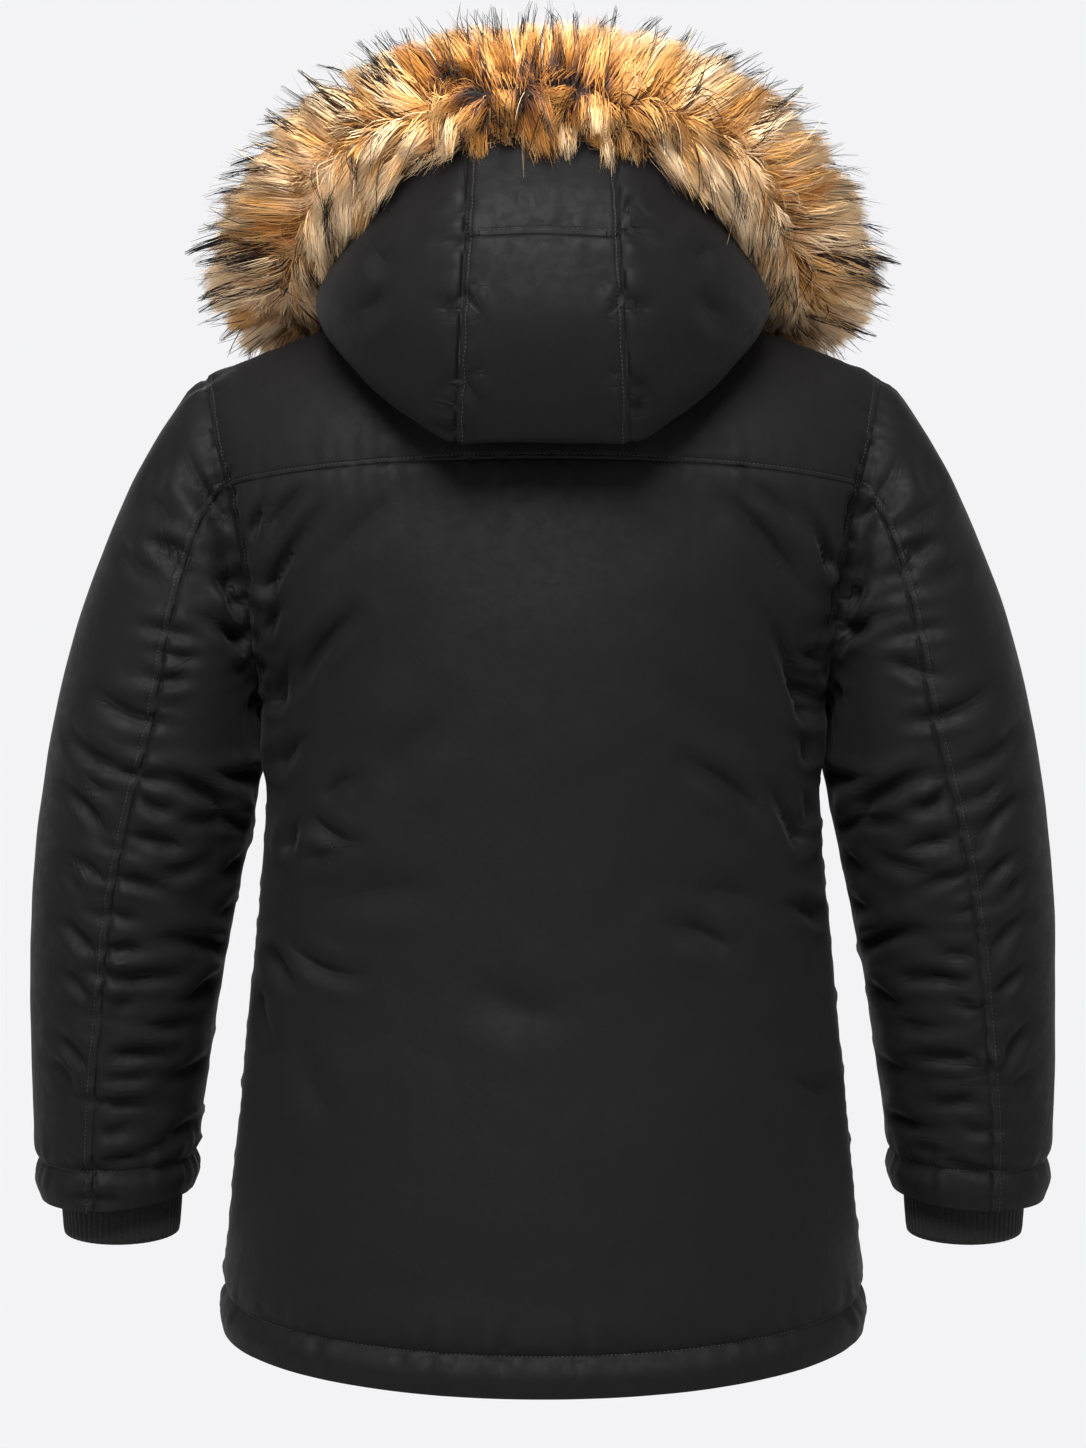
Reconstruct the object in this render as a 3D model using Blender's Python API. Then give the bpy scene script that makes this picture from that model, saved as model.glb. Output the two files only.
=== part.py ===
"""A padded parka with a fur-trimmed hood, held open as it is worn.

Metres, +Z up. The origin is the middle of the neck opening at the height of the nape, where the
wearer carries the coat. The front faces -Y and the wearer's left arm is on +X.

The coat is worked out the way it is cut: the body is a stack of ovals from hem to armpit, a rising
armhole above that, and a yoke and shoulders that close over to the neckline. Each sleeve is a fan of
ovals from the armhole to the wrist. The hood is a row of hoops from the neckline, round the hanging
bag, to the edge that carries the fur. Panels that are sewn together share the points of their seam.
"""

import math
from collections import namedtuple

import bmesh
import bpy
import numpy as np

# ---- Driving sizes ------------------------------------------------------------------------------
CLOTH = 0.004  # shell, wadding and lining together
HOOD_CLOTH = 0.003  # the hood is wadded more thinly
SEAM_GAP = 0.0003  # the space that parts two sewn panels
OVAL_FLATNESS = 0.85  # below 1 the back and the front are flatter than an ellipse

SHOULDER_TIP = np.array([0.2467, 0.0, -0.0547])
NECK_SIDE = np.array([0.085, -0.005, 0.008])
NAPE = np.array([0.0, 0.072, 0.0])
THROAT = np.array([0.0, -0.092, -0.055])
ARMPIT = np.array([0.203, 0.0, -0.300])
ARMHOLE_HALF_DEPTH = 0.078
ARMHOLE_TURN_TO_YOKE = math.radians(107)  # how far round the armhole the yoke seam meets it
ARMHOLE_LEAN = 1.2  # over 1, the armhole stays narrow near the armpit

STITCH_DIP = 0.0015  # how far stitching draws the cloth in above a turned hem
BAND_PUFF = 0.0020  # how far the stuffed hem stands out below that stitching

ZIP_EDGE = 0.006  # from the centre line to the edge of a front
ZIP_TAPE_HALF = 0.014
ZIP_TAPE_THICK = 0.0012
ZIP_CHAIN_HALF = 0.003
ZIP_CHAIN_HIGH = 0.0035
SLIDER_PLACE = 0.55  # how far the slider stands up the last stretch of the zip
SLIDER_HALF_WIDTH = 0.0046
SLIDER_HALF_LENGTH = 0.0080
SLIDER_THICK = 0.0022
BAIL_RADIUS = 0.0033
BAIL_THICK = 0.0010
PULL_STAND_OFF = 0.0015  # from the slider's face to the bar that the pull turns about
PULL_THICK = 0.0012
PULL_HALF_WIDTH = 0.0036
PULL_LENGTH = 0.024
PULL_WINDOW_HALF = 0.0019
PULL_WINDOW_LOW = 0.0056

HOOD_STRIP_HALF = 0.055  # at the neckline the middle strip of the hood is twice this wide
HOOD_STRIP_CROWN = 0.004  # how far the strip bows backwards between its seams
HOOD_CROSS_SEAM = 0.776  # where the strip's cross seam lies, from the neckline (0) to the fur (1)

RIB_COUNT = 60
RIB_HEIGHT = 0.0009
RIB_WALL = 0.0022
RIB_CENTRE = np.array([0.3110, -0.0360])
RIB_HALF_WIDTH = 0.0430
RIB_HALF_DEPTH = 0.0400
RIB_BOTTOM = -0.6820
RIB_TOP = -0.6300
RIB_FLARE_ALONG = 0.925  # where along the sleeve the cuff is joined to its inside
RIB_BACK_DROP = 0.007

# ---- Tables -------------------------------------------------------------------------------------
# The body: up is 0 at the hem, 1 at the armpit and 2 at the yoke seam.
Level = namedtuple("Level", "up back_z back_y front_z front_y")
LEVELS = [
    Level(0.00, -0.777, 0.158, -0.741, -0.156),
    Level(0.18, -0.683, 0.156, -0.660, -0.153),
    Level(0.36, -0.596, 0.152, -0.584, -0.149),
    Level(0.55, -0.505, 0.147, -0.500, -0.145),
    Level(0.75, -0.411, 0.148, -0.410, -0.144),
    Level(1.00, -0.300, 0.152, -0.300, -0.145),
    Level(1.50, -0.210, 0.151, -0.225, -0.139),
    Level(2.00, -0.1244, 0.141, -0.150, -0.127),
]
# Its two side seams, from the hem to the armpit.
Side = namedtuple("Side", "up z half_width")
SIDES = [
    Side(0.00, -0.742, 0.2350),
    Side(0.18, -0.660, 0.2288),
    Side(0.36, -0.584, 0.2212),
    Side(0.55, -0.500, 0.2135),
    Side(0.75, -0.410, 0.2050),
    Side(0.90, -0.344, 0.2015),
    Side(1.00, -0.300, 0.2030),
]
# The left sleeve: along is 0 at the armhole and 1 at the wrist. Each oval has its outermost and
# innermost points, reaches half_depth behind and before centre_y and hangs lower at the back by
# back_drop. Its back seam lies seam_turn degrees round from the innermost point.
Oval = namedtuple(
    "Oval", "along outer_x outer_z inner_x inner_z half_depth centre_y back_drop seam_turn"
)
OVALS = [
    Oval(0.00, 0.2467, -0.0547, 0.2030, -0.3000, 0.078, 0.000, 0.000, 102),
    Oval(0.06, 0.2600, -0.0680, 0.2076, -0.3010, 0.080, 0.000, 0.000, 100),
    Oval(0.14, 0.2860, -0.1090, 0.2078, -0.3070, 0.083, 0.001, 0.000, 97),
    Oval(0.28, 0.3230, -0.1900, 0.2064, -0.3190, 0.085, 0.002, 0.000, 92),
    Oval(0.42, 0.3500, -0.2770, 0.2056, -0.3400, 0.083, 0.002, 0.000, 89),
    Oval(0.55, 0.3655, -0.3630, 0.2105, -0.3720, 0.080, 0.000, 0.001, 93),
    Oval(0.67, 0.3735, -0.4450, 0.2245, -0.4400, 0.075, -0.006, 0.002, 97),
    Oval(0.79, 0.3752, -0.5300, 0.2395, -0.5200, 0.068, -0.016, 0.004, 99),
    Oval(0.90, 0.3752, -0.6000, 0.2510, -0.5980, 0.062, -0.028, 0.007, 101),
    Oval(1.00, 0.3715, -0.6560, 0.2560, -0.6490, 0.058, -0.036, 0.010, 102),
]
# The hood: along is 0 at the neckline and 1 at the edge that carries the fur. Each hoop passes
# behind the neck, beside it, over the collarbone and in front of the throat.
Hoop = namedtuple(
    "Hoop", "along back_y back_z side_x side_y side_z bone_x bone_y bone_z front_x front_y front_z"
)
HOOPS = [
    Hoop(0.00, 0.072, 0.000, 0.085, -0.005, 0.008, 0.055, -0.071, -0.040, 0.006, -0.092, -0.055),
    Hoop(0.12, 0.102, 0.012, 0.097, 0.008, 0.032, 0.067, -0.074, -0.014, 0.012, -0.102, -0.040),
    Hoop(0.30, 0.150, -0.056, 0.124, 0.030, 0.032, 0.085, -0.073, 0.001, 0.020, -0.110, -0.034),
    Hoop(0.45, 0.181, -0.118, 0.160, 0.050, 0.001, 0.102, -0.070, 0.004, 0.028, -0.115, -0.034),
    Hoop(0.54, 0.201, -0.086, 0.172, 0.058, -0.015, 0.112, -0.068, 0.004, 0.032, -0.117, -0.035),
    Hoop(0.62, 0.213, -0.043, 0.177, 0.066, -0.014, 0.119, -0.066, 0.004, 0.036, -0.119, -0.037),
    Hoop(0.72, 0.213, -0.001, 0.173, 0.072, -0.002, 0.126, -0.062, 0.005, 0.041, -0.121, -0.039),
    Hoop(0.82, 0.205, 0.036, 0.162, 0.072, 0.013, 0.132, -0.058, 0.006, 0.046, -0.122, -0.042),
    Hoop(1.00, 0.172, 0.088, 0.139, 0.062, 0.033, 0.145, -0.050, 0.011, 0.056, -0.125, -0.048),
]
# Half the width of the hood's middle strip, from the neckline (0) to the fur (1). It is widest where
# the hood hangs lowest.
StripWidth = namedtuple("StripWidth", "along half_width")
HOOD_STRIP = [
    StripWidth(0.00, 0.0550),
    StripWidth(0.12, 0.0560),
    StripWidth(0.46, 0.0600),
    StripWidth(0.70, 0.0560),
    StripWidth(1.00, 0.0535),
]
HOOD_LOWEST = 0.5  # where along the strip the hood hangs lowest and is roundest
# The fur from the middle of the back to the throat: its middle, the way it points away from the
# hood's edge, how far it reaches that way and how far it reaches to either side of its skin.
Ruff = namedtuple("Ruff", "turn x y z away_x away_y away_z reach half_thick")
RUFFS = [
    Ruff(0.00, 0.000, 0.150, 0.136, 0.00, -0.42, 0.91, 0.046, 0.034),
    Ruff(0.14, 0.050, 0.145, 0.132, 0.10, -0.42, 0.90, 0.047, 0.034),
    Ruff(0.28, 0.100, 0.130, 0.118, 0.28, -0.40, 0.87, 0.048, 0.035),
    Ruff(0.42, 0.145, 0.100, 0.092, 0.55, -0.25, 0.80, 0.047, 0.036),
    Ruff(0.53, 0.178, 0.060, 0.056, 0.85, -0.05, 0.50, 0.046, 0.036),
    Ruff(0.63, 0.196, 0.015, 0.020, 0.97, 0.00, 0.10, 0.045, 0.036),
    Ruff(0.73, 0.190, -0.040, 0.000, 0.93, -0.10, -0.30, 0.043, 0.035),
    Ruff(0.85, 0.147, -0.098, -0.028, 0.60, -0.35, -0.70, 0.040, 0.033),
    Ruff(1.00, 0.064, -0.140, -0.080, 0.22, -0.42, -0.88, 0.036, 0.029),
]
# The largest folds on the left half. Each runs between two places seen straight from behind
# (face 1) or straight from the front (face -1), and is a soft trough where its depth is positive.
Fold = namedtuple("Fold", "face start_x start_z end_x end_z width depth")
BODY_FOLDS = [
    Fold(1, 0.205, -0.150, 0.222, -0.185, 0.020, 0.006),
    Fold(1, 0.185, -0.222, 0.130, -0.305, 0.026, 0.006),
    Fold(1, 0.182, -0.255, 0.160, -0.335, 0.024, 0.005),
    Fold(1, 0.150, -0.345, 0.132, -0.405, 0.026, 0.005),
    Fold(1, 0.165, -0.452, 0.122, -0.502, 0.026, 0.005),
    Fold(-1, 0.190, -0.210, 0.120, -0.300, 0.026, 0.006),
    Fold(-1, 0.170, -0.330, 0.120, -0.430, 0.026, 0.005),
]
SLEEVE_FOLDS = [
    Fold(1, 0.285, -0.165, 0.246, -0.225, 0.018, 0.007),
    Fold(1, 0.240, -0.188, 0.210, -0.230, 0.017, 0.007),
    Fold(1, 0.330, -0.288, 0.280, -0.296, 0.017, 0.006),
    Fold(1, 0.290, -0.343, 0.225, -0.366, 0.018, 0.008),
    Fold(1, 0.268, -0.385, 0.215, -0.390, 0.015, 0.006),
    Fold(1, 0.290, -0.466, 0.225, -0.460, 0.018, 0.007),
    Fold(1, 0.300, -0.512, 0.238, -0.502, 0.016, 0.006),
    Fold(1, 0.318, -0.552, 0.270, -0.550, 0.016, 0.005),
    Fold(1, 0.325, -0.600, 0.262, -0.594, 0.016, 0.004),
    Fold(-1, 0.300, -0.240, 0.215, -0.262, 0.020, 0.007),
    Fold(-1, 0.335, -0.375, 0.215, -0.362, 0.018, 0.008),
    Fold(-1, 0.330, -0.430, 0.225, -0.425, 0.017, 0.007),
    Fold(-1, 0.345, -0.500, 0.240, -0.492, 0.017, 0.006),
    Fold(-1, 0.340, -0.560, 0.260, -0.556, 0.016, 0.005),
]

# ---- How finely the cloth is divided ------------------------------------------------------------
NECK_STEPS = 6  # columns from the centre line to the side of the neck
STRIP_STEPS = 3  # of which these lie in the hood's middle strip
SHOULDER_STEPS = 5  # columns from the side of the neck to the armhole
HOOD_SIDE_SHIFT = 1.0  # how many columns the hood's side moves forward above the neckline
HOOD_COLUMNS = 2 * NECK_STEPS
HOOD_EASING = 5
HOOD_EASED_ROW = 4
BODY_ROWS = [0.0, 0.028, 0.056, 0.070, 0.14, 0.23, 0.32, 0.41, 0.50, 0.59, 0.68, 0.77, 0.85, 0.93, 1.0]
BODY_BAND = {0.0: -0.0010, 0.028: BAND_PUFF, 0.056: -STITCH_DIP}
ARMHOLE_ROWS = [1.0, 1.14, 1.30, 1.47, 1.64, 1.82, 2.0]
YOKE_ROWS = [2.0, 2.16, 2.34, 2.54, 2.76, 3.0]
SLEEVE_ROWS = [0, 0.03, 0.10, 0.17, 0.24, 0.30, 0.36, 0.42, 0.48, 0.53, 0.575, 0.62, 0.665]
SLEEVE_ROWS = SLEEVE_ROWS + [0.71, 0.755, 0.80, 0.85, 0.90, 0.935, 0.948, 0.974, 1.0]
SLEEVE_BAND = {0.948: -STITCH_DIP, 0.974: BAND_PUFF, 1.0: -0.0010}
SLEEVE_SEAM_BACK = len(ARMHOLE_ROWS) - 1  # the ring's point where the yoke seam ends
SLEEVE_SEAM_FRONT = 2 * (len(ARMHOLE_ROWS) + len(YOKE_ROWS) - 2) - 2
HOOD_ROWS = [0, 0.05, 0.12, 0.20, 0.28, 0.35, 0.41, 0.46, 0.51, 0.57, 0.64, 0.71, HOOD_CROSS_SEAM]
HOOD_ROWS = HOOD_ROWS + [0.87, 0.94, 1.0]
RUFF_STEPS = 15
RUFF_SIDES = 14


# ---- Small helpers ------------------------------------------------------------------------------
def smooth_step(t):
    t = min(max(t, 0.0), 1.0)
    return t * t * (3 - 2 * t)


def unit(vector):
    return vector / np.linalg.norm(vector)


def hermite(start, end, leave, arrive, t):
    """A curve from start to end that leaves along one vector and arrives along another."""
    return (
        (2 * t**3 - 3 * t**2 + 1) * start
        + (t**3 - 2 * t**2 + t) * leave
        + (3 * t**2 - 2 * t**3) * end
        + (t**3 - t**2) * arrive
    )


def from_table(rows, at):
    """The columns of a table after its first, at a place between its rows, on a smooth curve."""
    places = np.array([row[0] for row in rows], float)
    values = np.array([row[1:] for row in rows], float)
    slopes = np.gradient(values, places, axis=0)
    i = min(max(int(np.searchsorted(places, at)) - 1, 0), len(rows) - 2)
    span = places[i + 1] - places[i]
    t = (at - places[i]) / span
    return hermite(values[i], values[i + 1], slopes[i] * span, slopes[i + 1] * span, t)


def mirrored(grid):
    """The same grid of points on the other side of the coat, still facing outwards."""
    return grid[:, ::-1] * np.array([-1, 1, 1])


# ---- The body -----------------------------------------------------------------------------------
def armhole_point(up, side):
    """A point of the armhole below the yoke. Side is 1 behind the arm and -1 in front of it."""
    turn = (up - 1) * ARMHOLE_TURN_TO_YOKE
    middle_z = (SHOULDER_TIP[2] + ARMPIT[2]) / 2
    half_height = (SHOULDER_TIP[2] - ARMPIT[2]) / 2
    z = middle_z - half_height * math.cos(turn)
    rise = max(z - ARMPIT[2], 0) / (SHOULDER_TIP[2] - ARMPIT[2])
    x = ARMPIT[0] + (SHOULDER_TIP[0] - ARMPIT[0]) * rise**ARMHOLE_LEAN
    return np.array([x, side * ARMHOLE_HALF_DEPTH * math.sin(turn), z])


def lower_point(across, up, side):
    """A point of the body below the yoke: across is 0 on the centre line and 1 at the side."""
    back_z, back_y, front_z, front_y = from_table(LEVELS, up)
    middle_z, middle_y = (back_z, back_y) if side > 0 else (front_z, front_y)
    if up <= 1:
        end_z, end_x = from_table(SIDES, up)
        widest, end_cos = math.pi / 2, 0.0
    else:
        end_x, end_y, end_z = armhole_point(up, side)
        widest = math.acos(abs(end_y / middle_y) ** (1 / OVAL_FLATNESS))
        end_cos = math.cos(widest)
    if across >= 1:
        return np.array([end_x, end_y if up > 1 else 0.0, end_z])
    angle = across * widest
    fullness = max(math.cos(angle), 0.0)
    share = (fullness - end_cos) / (1 - end_cos)
    return np.array(
        [
            end_x * math.sin(angle) / math.sin(widest),
            middle_y * fullness**OVAL_FLATNESS,
            end_z + (middle_z - end_z) * share,
        ]
    )


def neckline_point(turn, side):
    """A point of the neckline: turn is 0 at the nape or the throat and 1 at the side of the neck."""
    middle = NAPE if side > 0 else THROAT
    share = math.cos(turn * math.pi / 2)
    point = NECK_SIDE + (middle - NECK_SIDE) * share
    point[0] = NECK_SIDE[0] * math.sin(turn * math.pi / 2)
    return point


STRIP_TURN = math.asin(HOOD_STRIP_HALF / NECK_SIDE[0]) / (math.pi / 2)
NECK_TURNS = [STRIP_TURN * i / STRIP_STEPS for i in range(STRIP_STEPS)]
NECK_TURNS = NECK_TURNS + list(np.linspace(STRIP_TURN, 1, NECK_STEPS - STRIP_STEPS + 1))
NECK_SHARE = 0.31  # how much of the way across the yoke seam lies below the neck
ACROSS = [turn * NECK_SHARE for turn in NECK_TURNS]
ACROSS = ACROSS + list(np.linspace(NECK_SHARE, 1, SHOULDER_STEPS + 1)[1:])


def top_point(across, side):
    """A point where the body ends: the neckline, and beyond it the seam along the shoulder."""
    if across < NECK_SHARE:
        return neckline_point(across / NECK_SHARE, side)
    return NECK_SIDE + (SHOULDER_TIP - NECK_SIDE) * (across - NECK_SHARE) / (1 - NECK_SHARE)


def body_point(across, up, side):
    """A point of the body, its yoke and shoulders: up is 3 at the neckline and the shoulder seam."""
    if up <= 2:
        return lower_point(across, up, side)
    end = top_point(across, side)
    if up >= 3:
        return end
    step = 0.03
    start = lower_point(across, 2, side)
    reach = np.linalg.norm(end - start)
    leave = unit(start - lower_point(across, 2 - step, side)) * reach
    to_side = smooth_step(across / NECK_SHARE)
    beyond = smooth_step((across - NECK_SHARE) / 0.25)
    arrive = np.array([-0.6 * to_side, -side * (0.55 + 0.35 * to_side), 0.85 - 0.60 * to_side])
    arrive = unit(arrive + (np.array([0, -side, 0]) - arrive) * beyond) * reach
    return hermite(start, end, leave, arrive, up - 2)


def front_point(across, up):
    """A point of the left front, whose edge stands back from the centre line to clear the zip."""
    point = body_point(across, up, -1)
    point[0] += ZIP_EDGE * max(1 - across / NECK_SHARE, 0) ** 2
    return point


# ---- The sleeves --------------------------------------------------------------------------------
def armhole_ring():
    """The armhole's points from the armpit, up behind the arm, over the shoulder and down in front."""
    ups = ARMHOLE_ROWS + YOKE_ROWS[1:]
    back = [body_point(1, up, 1) for up in ups]
    front = [front_point(1, up) for up in ups[:-1]]
    return np.array(back + front[::-1])


def ring_angles(ring):
    """How far round the sleeve each point of the armhole is carried, from 0 to a full turn."""
    top = int(np.argmax(ring[:, 2]))
    run = np.concatenate([[0], np.cumsum(np.linalg.norm(np.diff(ring, axis=0), axis=1))])
    back = run[: top + 1] / run[top] * math.pi
    front = math.pi + (run[top + 1 :] - run[top]) / (run[-1] - run[top]) * math.pi
    return np.concatenate([back, front])


def oval_point(along, angle):
    """A point of an oval of the left sleeve: angle 0 is innermost, and a quarter turn is the back."""
    row = Oval(along, *from_table(OVALS, along))
    outer = np.array([row.outer_x, row.centre_y, row.outer_z])
    inner = np.array([row.inner_x, row.centre_y, row.inner_z])
    behind = np.array([0, row.half_depth, -row.back_drop])
    return (outer + inner) / 2 + (inner - outer) / 2 * math.cos(angle) + behind * math.sin(angle)


def turned_to_seam(along, angle, seam_angle):
    """The angle at which a column of the sleeve lies, so that seam_angle stays on the back seam."""
    seam = math.radians(Oval(along, *from_table(OVALS, along)).seam_turn)
    if angle < seam_angle:
        return angle * seam / seam_angle
    if angle < math.pi:
        return seam + (angle - seam_angle) * (math.pi - seam) / (math.pi - seam_angle)
    return angle


def sleeve_grid():
    """Every ring of the left sleeve, easing from the armhole's own outline to plain ovals."""
    ring = armhole_ring()
    angles = ring_angles(ring)
    seam_angle = angles[SLEEVE_SEAM_BACK]
    rows = []
    for along in SLEEVE_ROWS:
        turned = [turned_to_seam(along, angle, seam_angle) for angle in angles]
        rows.append(np.array([oval_point(along, angle) for angle in turned]))
    eases = [1 - smooth_step(along / 0.35) for along in SLEEVE_ROWS]
    away = ring - rows[0]
    return np.array([ring] + [row + away * ease for row, ease in zip(rows[1:], eases[1:])])


# ---- The hood and its fur -----------------------------------------------------------------------
def ruff_frame(turn):
    """The middle of the fur at a place along it, the ways away from the hood and round the fur."""
    row = Ruff(turn, *from_table(RUFFS, turn))
    middle = np.array([row.x, row.y, row.z])
    ahead = from_table(RUFFS, min(turn + 0.01, 1))[:3] - from_table(RUFFS, max(turn - 0.01, 0))[:3]
    ahead = unit(ahead * np.array([1, turn > 0, turn > 0]))
    away = np.array([row.away_x, row.away_y, row.away_z])
    away = unit(away - ahead * (away @ ahead))
    return middle, away, np.cross(ahead, away), row.reach, row.half_thick


def hoop_point(along, column):
    """A point of the hood's left half. Columns run from the middle of the back to the throat."""
    row = Hoop(along, *from_table(HOOPS, along))
    seam = np.array([from_table(HOOD_STRIP, along)[0], row.back_y - HOOD_STRIP_CROWN, row.back_z])
    side = np.array([row.side_x, row.side_y, row.side_z])
    bone = np.array([row.bone_x, row.bone_y, row.bone_z])
    front = np.array([row.front_x, row.front_y, row.front_z])
    if column <= STRIP_STEPS:
        share = column / STRIP_STEPS
        return np.array([seam[0] * share, row.back_y - HOOD_STRIP_CROWN * share**2, row.back_z])
    shift = HOOD_SIDE_SHIFT * smooth_step(along / 0.3)
    side_column, bone_column = NECK_STEPS + shift, HOOD_COLUMNS - STRIP_STEPS + shift / 2
    low = math.exp(-(((along - HOOD_LOWEST) / 0.13) ** 2))  # 1 at the lowest hoop of the bag
    if column <= side_column:
        reach = side - seam
        leave = np.array([(1.9 - 0.5 * low) * reach[0], -0.15 * abs(reach[1]), (0.2 - 0.15 * low) * reach[2]])
        arrive = np.array([0, 1.5 * reach[1], (1.2 + 0.75 * low) * reach[2]])
        share = (column - STRIP_STEPS) / (side_column - STRIP_STEPS)
        return hermite(seam, side, leave, arrive, share)
    passing = (front - side) * 0.5
    if column <= bone_column:
        reach = bone - side
        leave = np.array([0, 1.1 * reach[1], 0.7 * reach[2]])
        share = (column - side_column) / (bone_column - side_column)
        return hermite(side, bone, leave, passing, share)
    reach = front - bone
    arrive = np.array([1.3 * reach[0], 0.5 * reach[1], 0.9 * reach[2]])
    share = (column - bone_column) / (HOOD_COLUMNS - bone_column)
    return hermite(bone, front, passing, arrive, share)


def ruff_turn(column):
    """How far along the fur a column of the hood ends."""
    strip = STRIP_STEPS * 0.052
    if column <= STRIP_STEPS:
        return column * 0.052
    return strip + (1 - strip) * (column - STRIP_STEPS) / (HOOD_COLUMNS - STRIP_STEPS)


def fur_edge_point(column):
    """Where the hood's edge meets the fur."""
    middle, away, _, reach, _ = ruff_frame(ruff_turn(column))
    return middle - away * (reach + SEAM_GAP)


def relaxed(grid):
    """The hood's side eased, as wadding does: each point moves towards the middle of its neighbours."""
    low, left = HOOD_EASED_ROW, STRIP_STEPS + 1
    for _ in range(HOOD_EASING):
        across = (grid[low:-1, left - 1 : -2] + grid[low:-1, left + 1 :]) / 2
        along = (grid[low - 1 : -2, left:-1] + grid[low + 1 :, left:-1]) / 2
        inside = grid[low:-1, left:-1]
        grid[low:-1, left:-1] = inside + (across + along - 2 * inside) / 4
    return grid


def hood_half():
    """The hood's left half: rows from the neckline to the fur, columns from the throat to the back."""
    columns = range(HOOD_COLUMNS + 1)
    neck = [body_point(across, 3, 1) for across in ACROSS[: NECK_STEPS + 1]]
    neck = neck + [front_point(across, 3) for across in ACROSS[:NECK_STEPS]][::-1]
    neck = np.array(neck)
    fur = np.array([fur_edge_point(column) for column in columns])
    start = np.array([hoop_point(0, column) for column in columns])
    end = np.array([hoop_point(1, column) for column in columns])
    rows = [neck]
    for along in HOOD_ROWS[1:-1]:
        hoop = np.array([hoop_point(along, column) for column in columns])
        leave, arrive = 1 - smooth_step(along / 0.3), smooth_step((along - 0.55) / 0.45)
        rows.append(hoop + (neck - start) * leave + (fur - end) * arrive)
    rows.append(fur)
    return relaxed(np.array(rows))[:, ::-1]


# ---- Relief: folds and stitched hems ------------------------------------------------------------
def shared_normals(grids):
    """The way each point faces, averaged over every grid that holds it, so that seams agree."""
    totals = {}
    for grid in grids:
        facing = np.zeros(grid.shape)
        for i in range(grid.shape[0] - 1):
            for j in range(grid.shape[1] - 1):
                one = grid[i + 1, j + 1] - grid[i, j]
                other = grid[i + 1, j] - grid[i, j + 1]
                area = np.cross(one, other)
                for corner in ((i, j), (i, j + 1), (i + 1, j + 1), (i + 1, j)):
                    facing[corner] += area
        for index in np.ndindex(grid.shape[:2]):
            key = tuple(np.round(grid[index], 6) + 0.0)
            totals[key] = totals.get(key, np.zeros(3)) + facing[index]
    normals = []
    for grid in grids:
        rows = [[unit(totals[tuple(np.round(point, 6) + 0.0)]) for point in row] for row in grid]
        normals.append(np.array(rows))
    return normals


def fold_depth(point, facing, folds):
    """How far the folds draw a point inwards. A fold on the left has its twin on the right."""
    total = 0.0
    for fold in folds:
        shown = max(facing[1] * fold.face, 0)
        start = np.array([fold.start_x, fold.start_z])
        line = np.array([fold.end_x, fold.end_z]) - start
        away = np.array([abs(point[0]), point[2]]) - start
        share = min(max(away @ line / (line @ line), 0), 1)
        distance = np.linalg.norm(away - line * share)
        total += fold.depth * shown * math.exp(-((distance / fold.width) ** 2))
    return total


def relieved(grid, normals, folds, row_offsets, held):
    """The grid with its folds and bands, where held marks the points that must stay in place."""
    result = grid.copy()
    for i, j in np.ndindex(grid.shape[:2]):
        if not held[i, j]:
            offset = row_offsets[i] - fold_depth(grid[i, j], normals[i, j], folds)
            result[i, j] = grid[i, j] + normals[i, j] * offset
    return result


# ---- Making solids ------------------------------------------------------------------------------
def fabric(name, colour, roughness, metallic=0.0):
    material = bpy.data.materials.new(name)
    material.use_nodes = True
    shader = material.node_tree.nodes["Principled BSDF"]
    shader.inputs["Base Color"].default_value = (*colour, 1)
    shader.inputs["Roughness"].default_value = roughness
    shader.inputs["Metallic"].default_value = metallic
    return material


def add_object(name, points, faces, material, collection):
    mesh = bpy.data.meshes.new(name)
    mesh.from_pydata([tuple(map(float, point)) for point in points], [], faces)
    mesh.materials.append(material)
    mesh.validate()
    shape = bmesh.new()
    shape.from_mesh(mesh)
    bmesh.ops.recalc_face_normals(shape, faces=shape.faces)
    shape.to_mesh(mesh)
    shape.free()
    mesh.shade_smooth()
    mesh.set_sharp_from_angle(angle=math.radians(50))
    item = bpy.data.objects.new(name, mesh)
    collection.objects.link(item)
    return item


def inset(grid, gap):
    """The grid with its four edges drawn in, so that it stops short of its neighbours."""
    result = grid.copy()
    for axis in (0, 1):
        lines = np.moveaxis(result, axis, 0)
        for edge, inner in ((0, 1), (-1, -2)):
            step = lines[inner] - lines[edge]
            lines[edge] += step / np.linalg.norm(step, axis=1, keepdims=True) * gap
    return result


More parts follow.
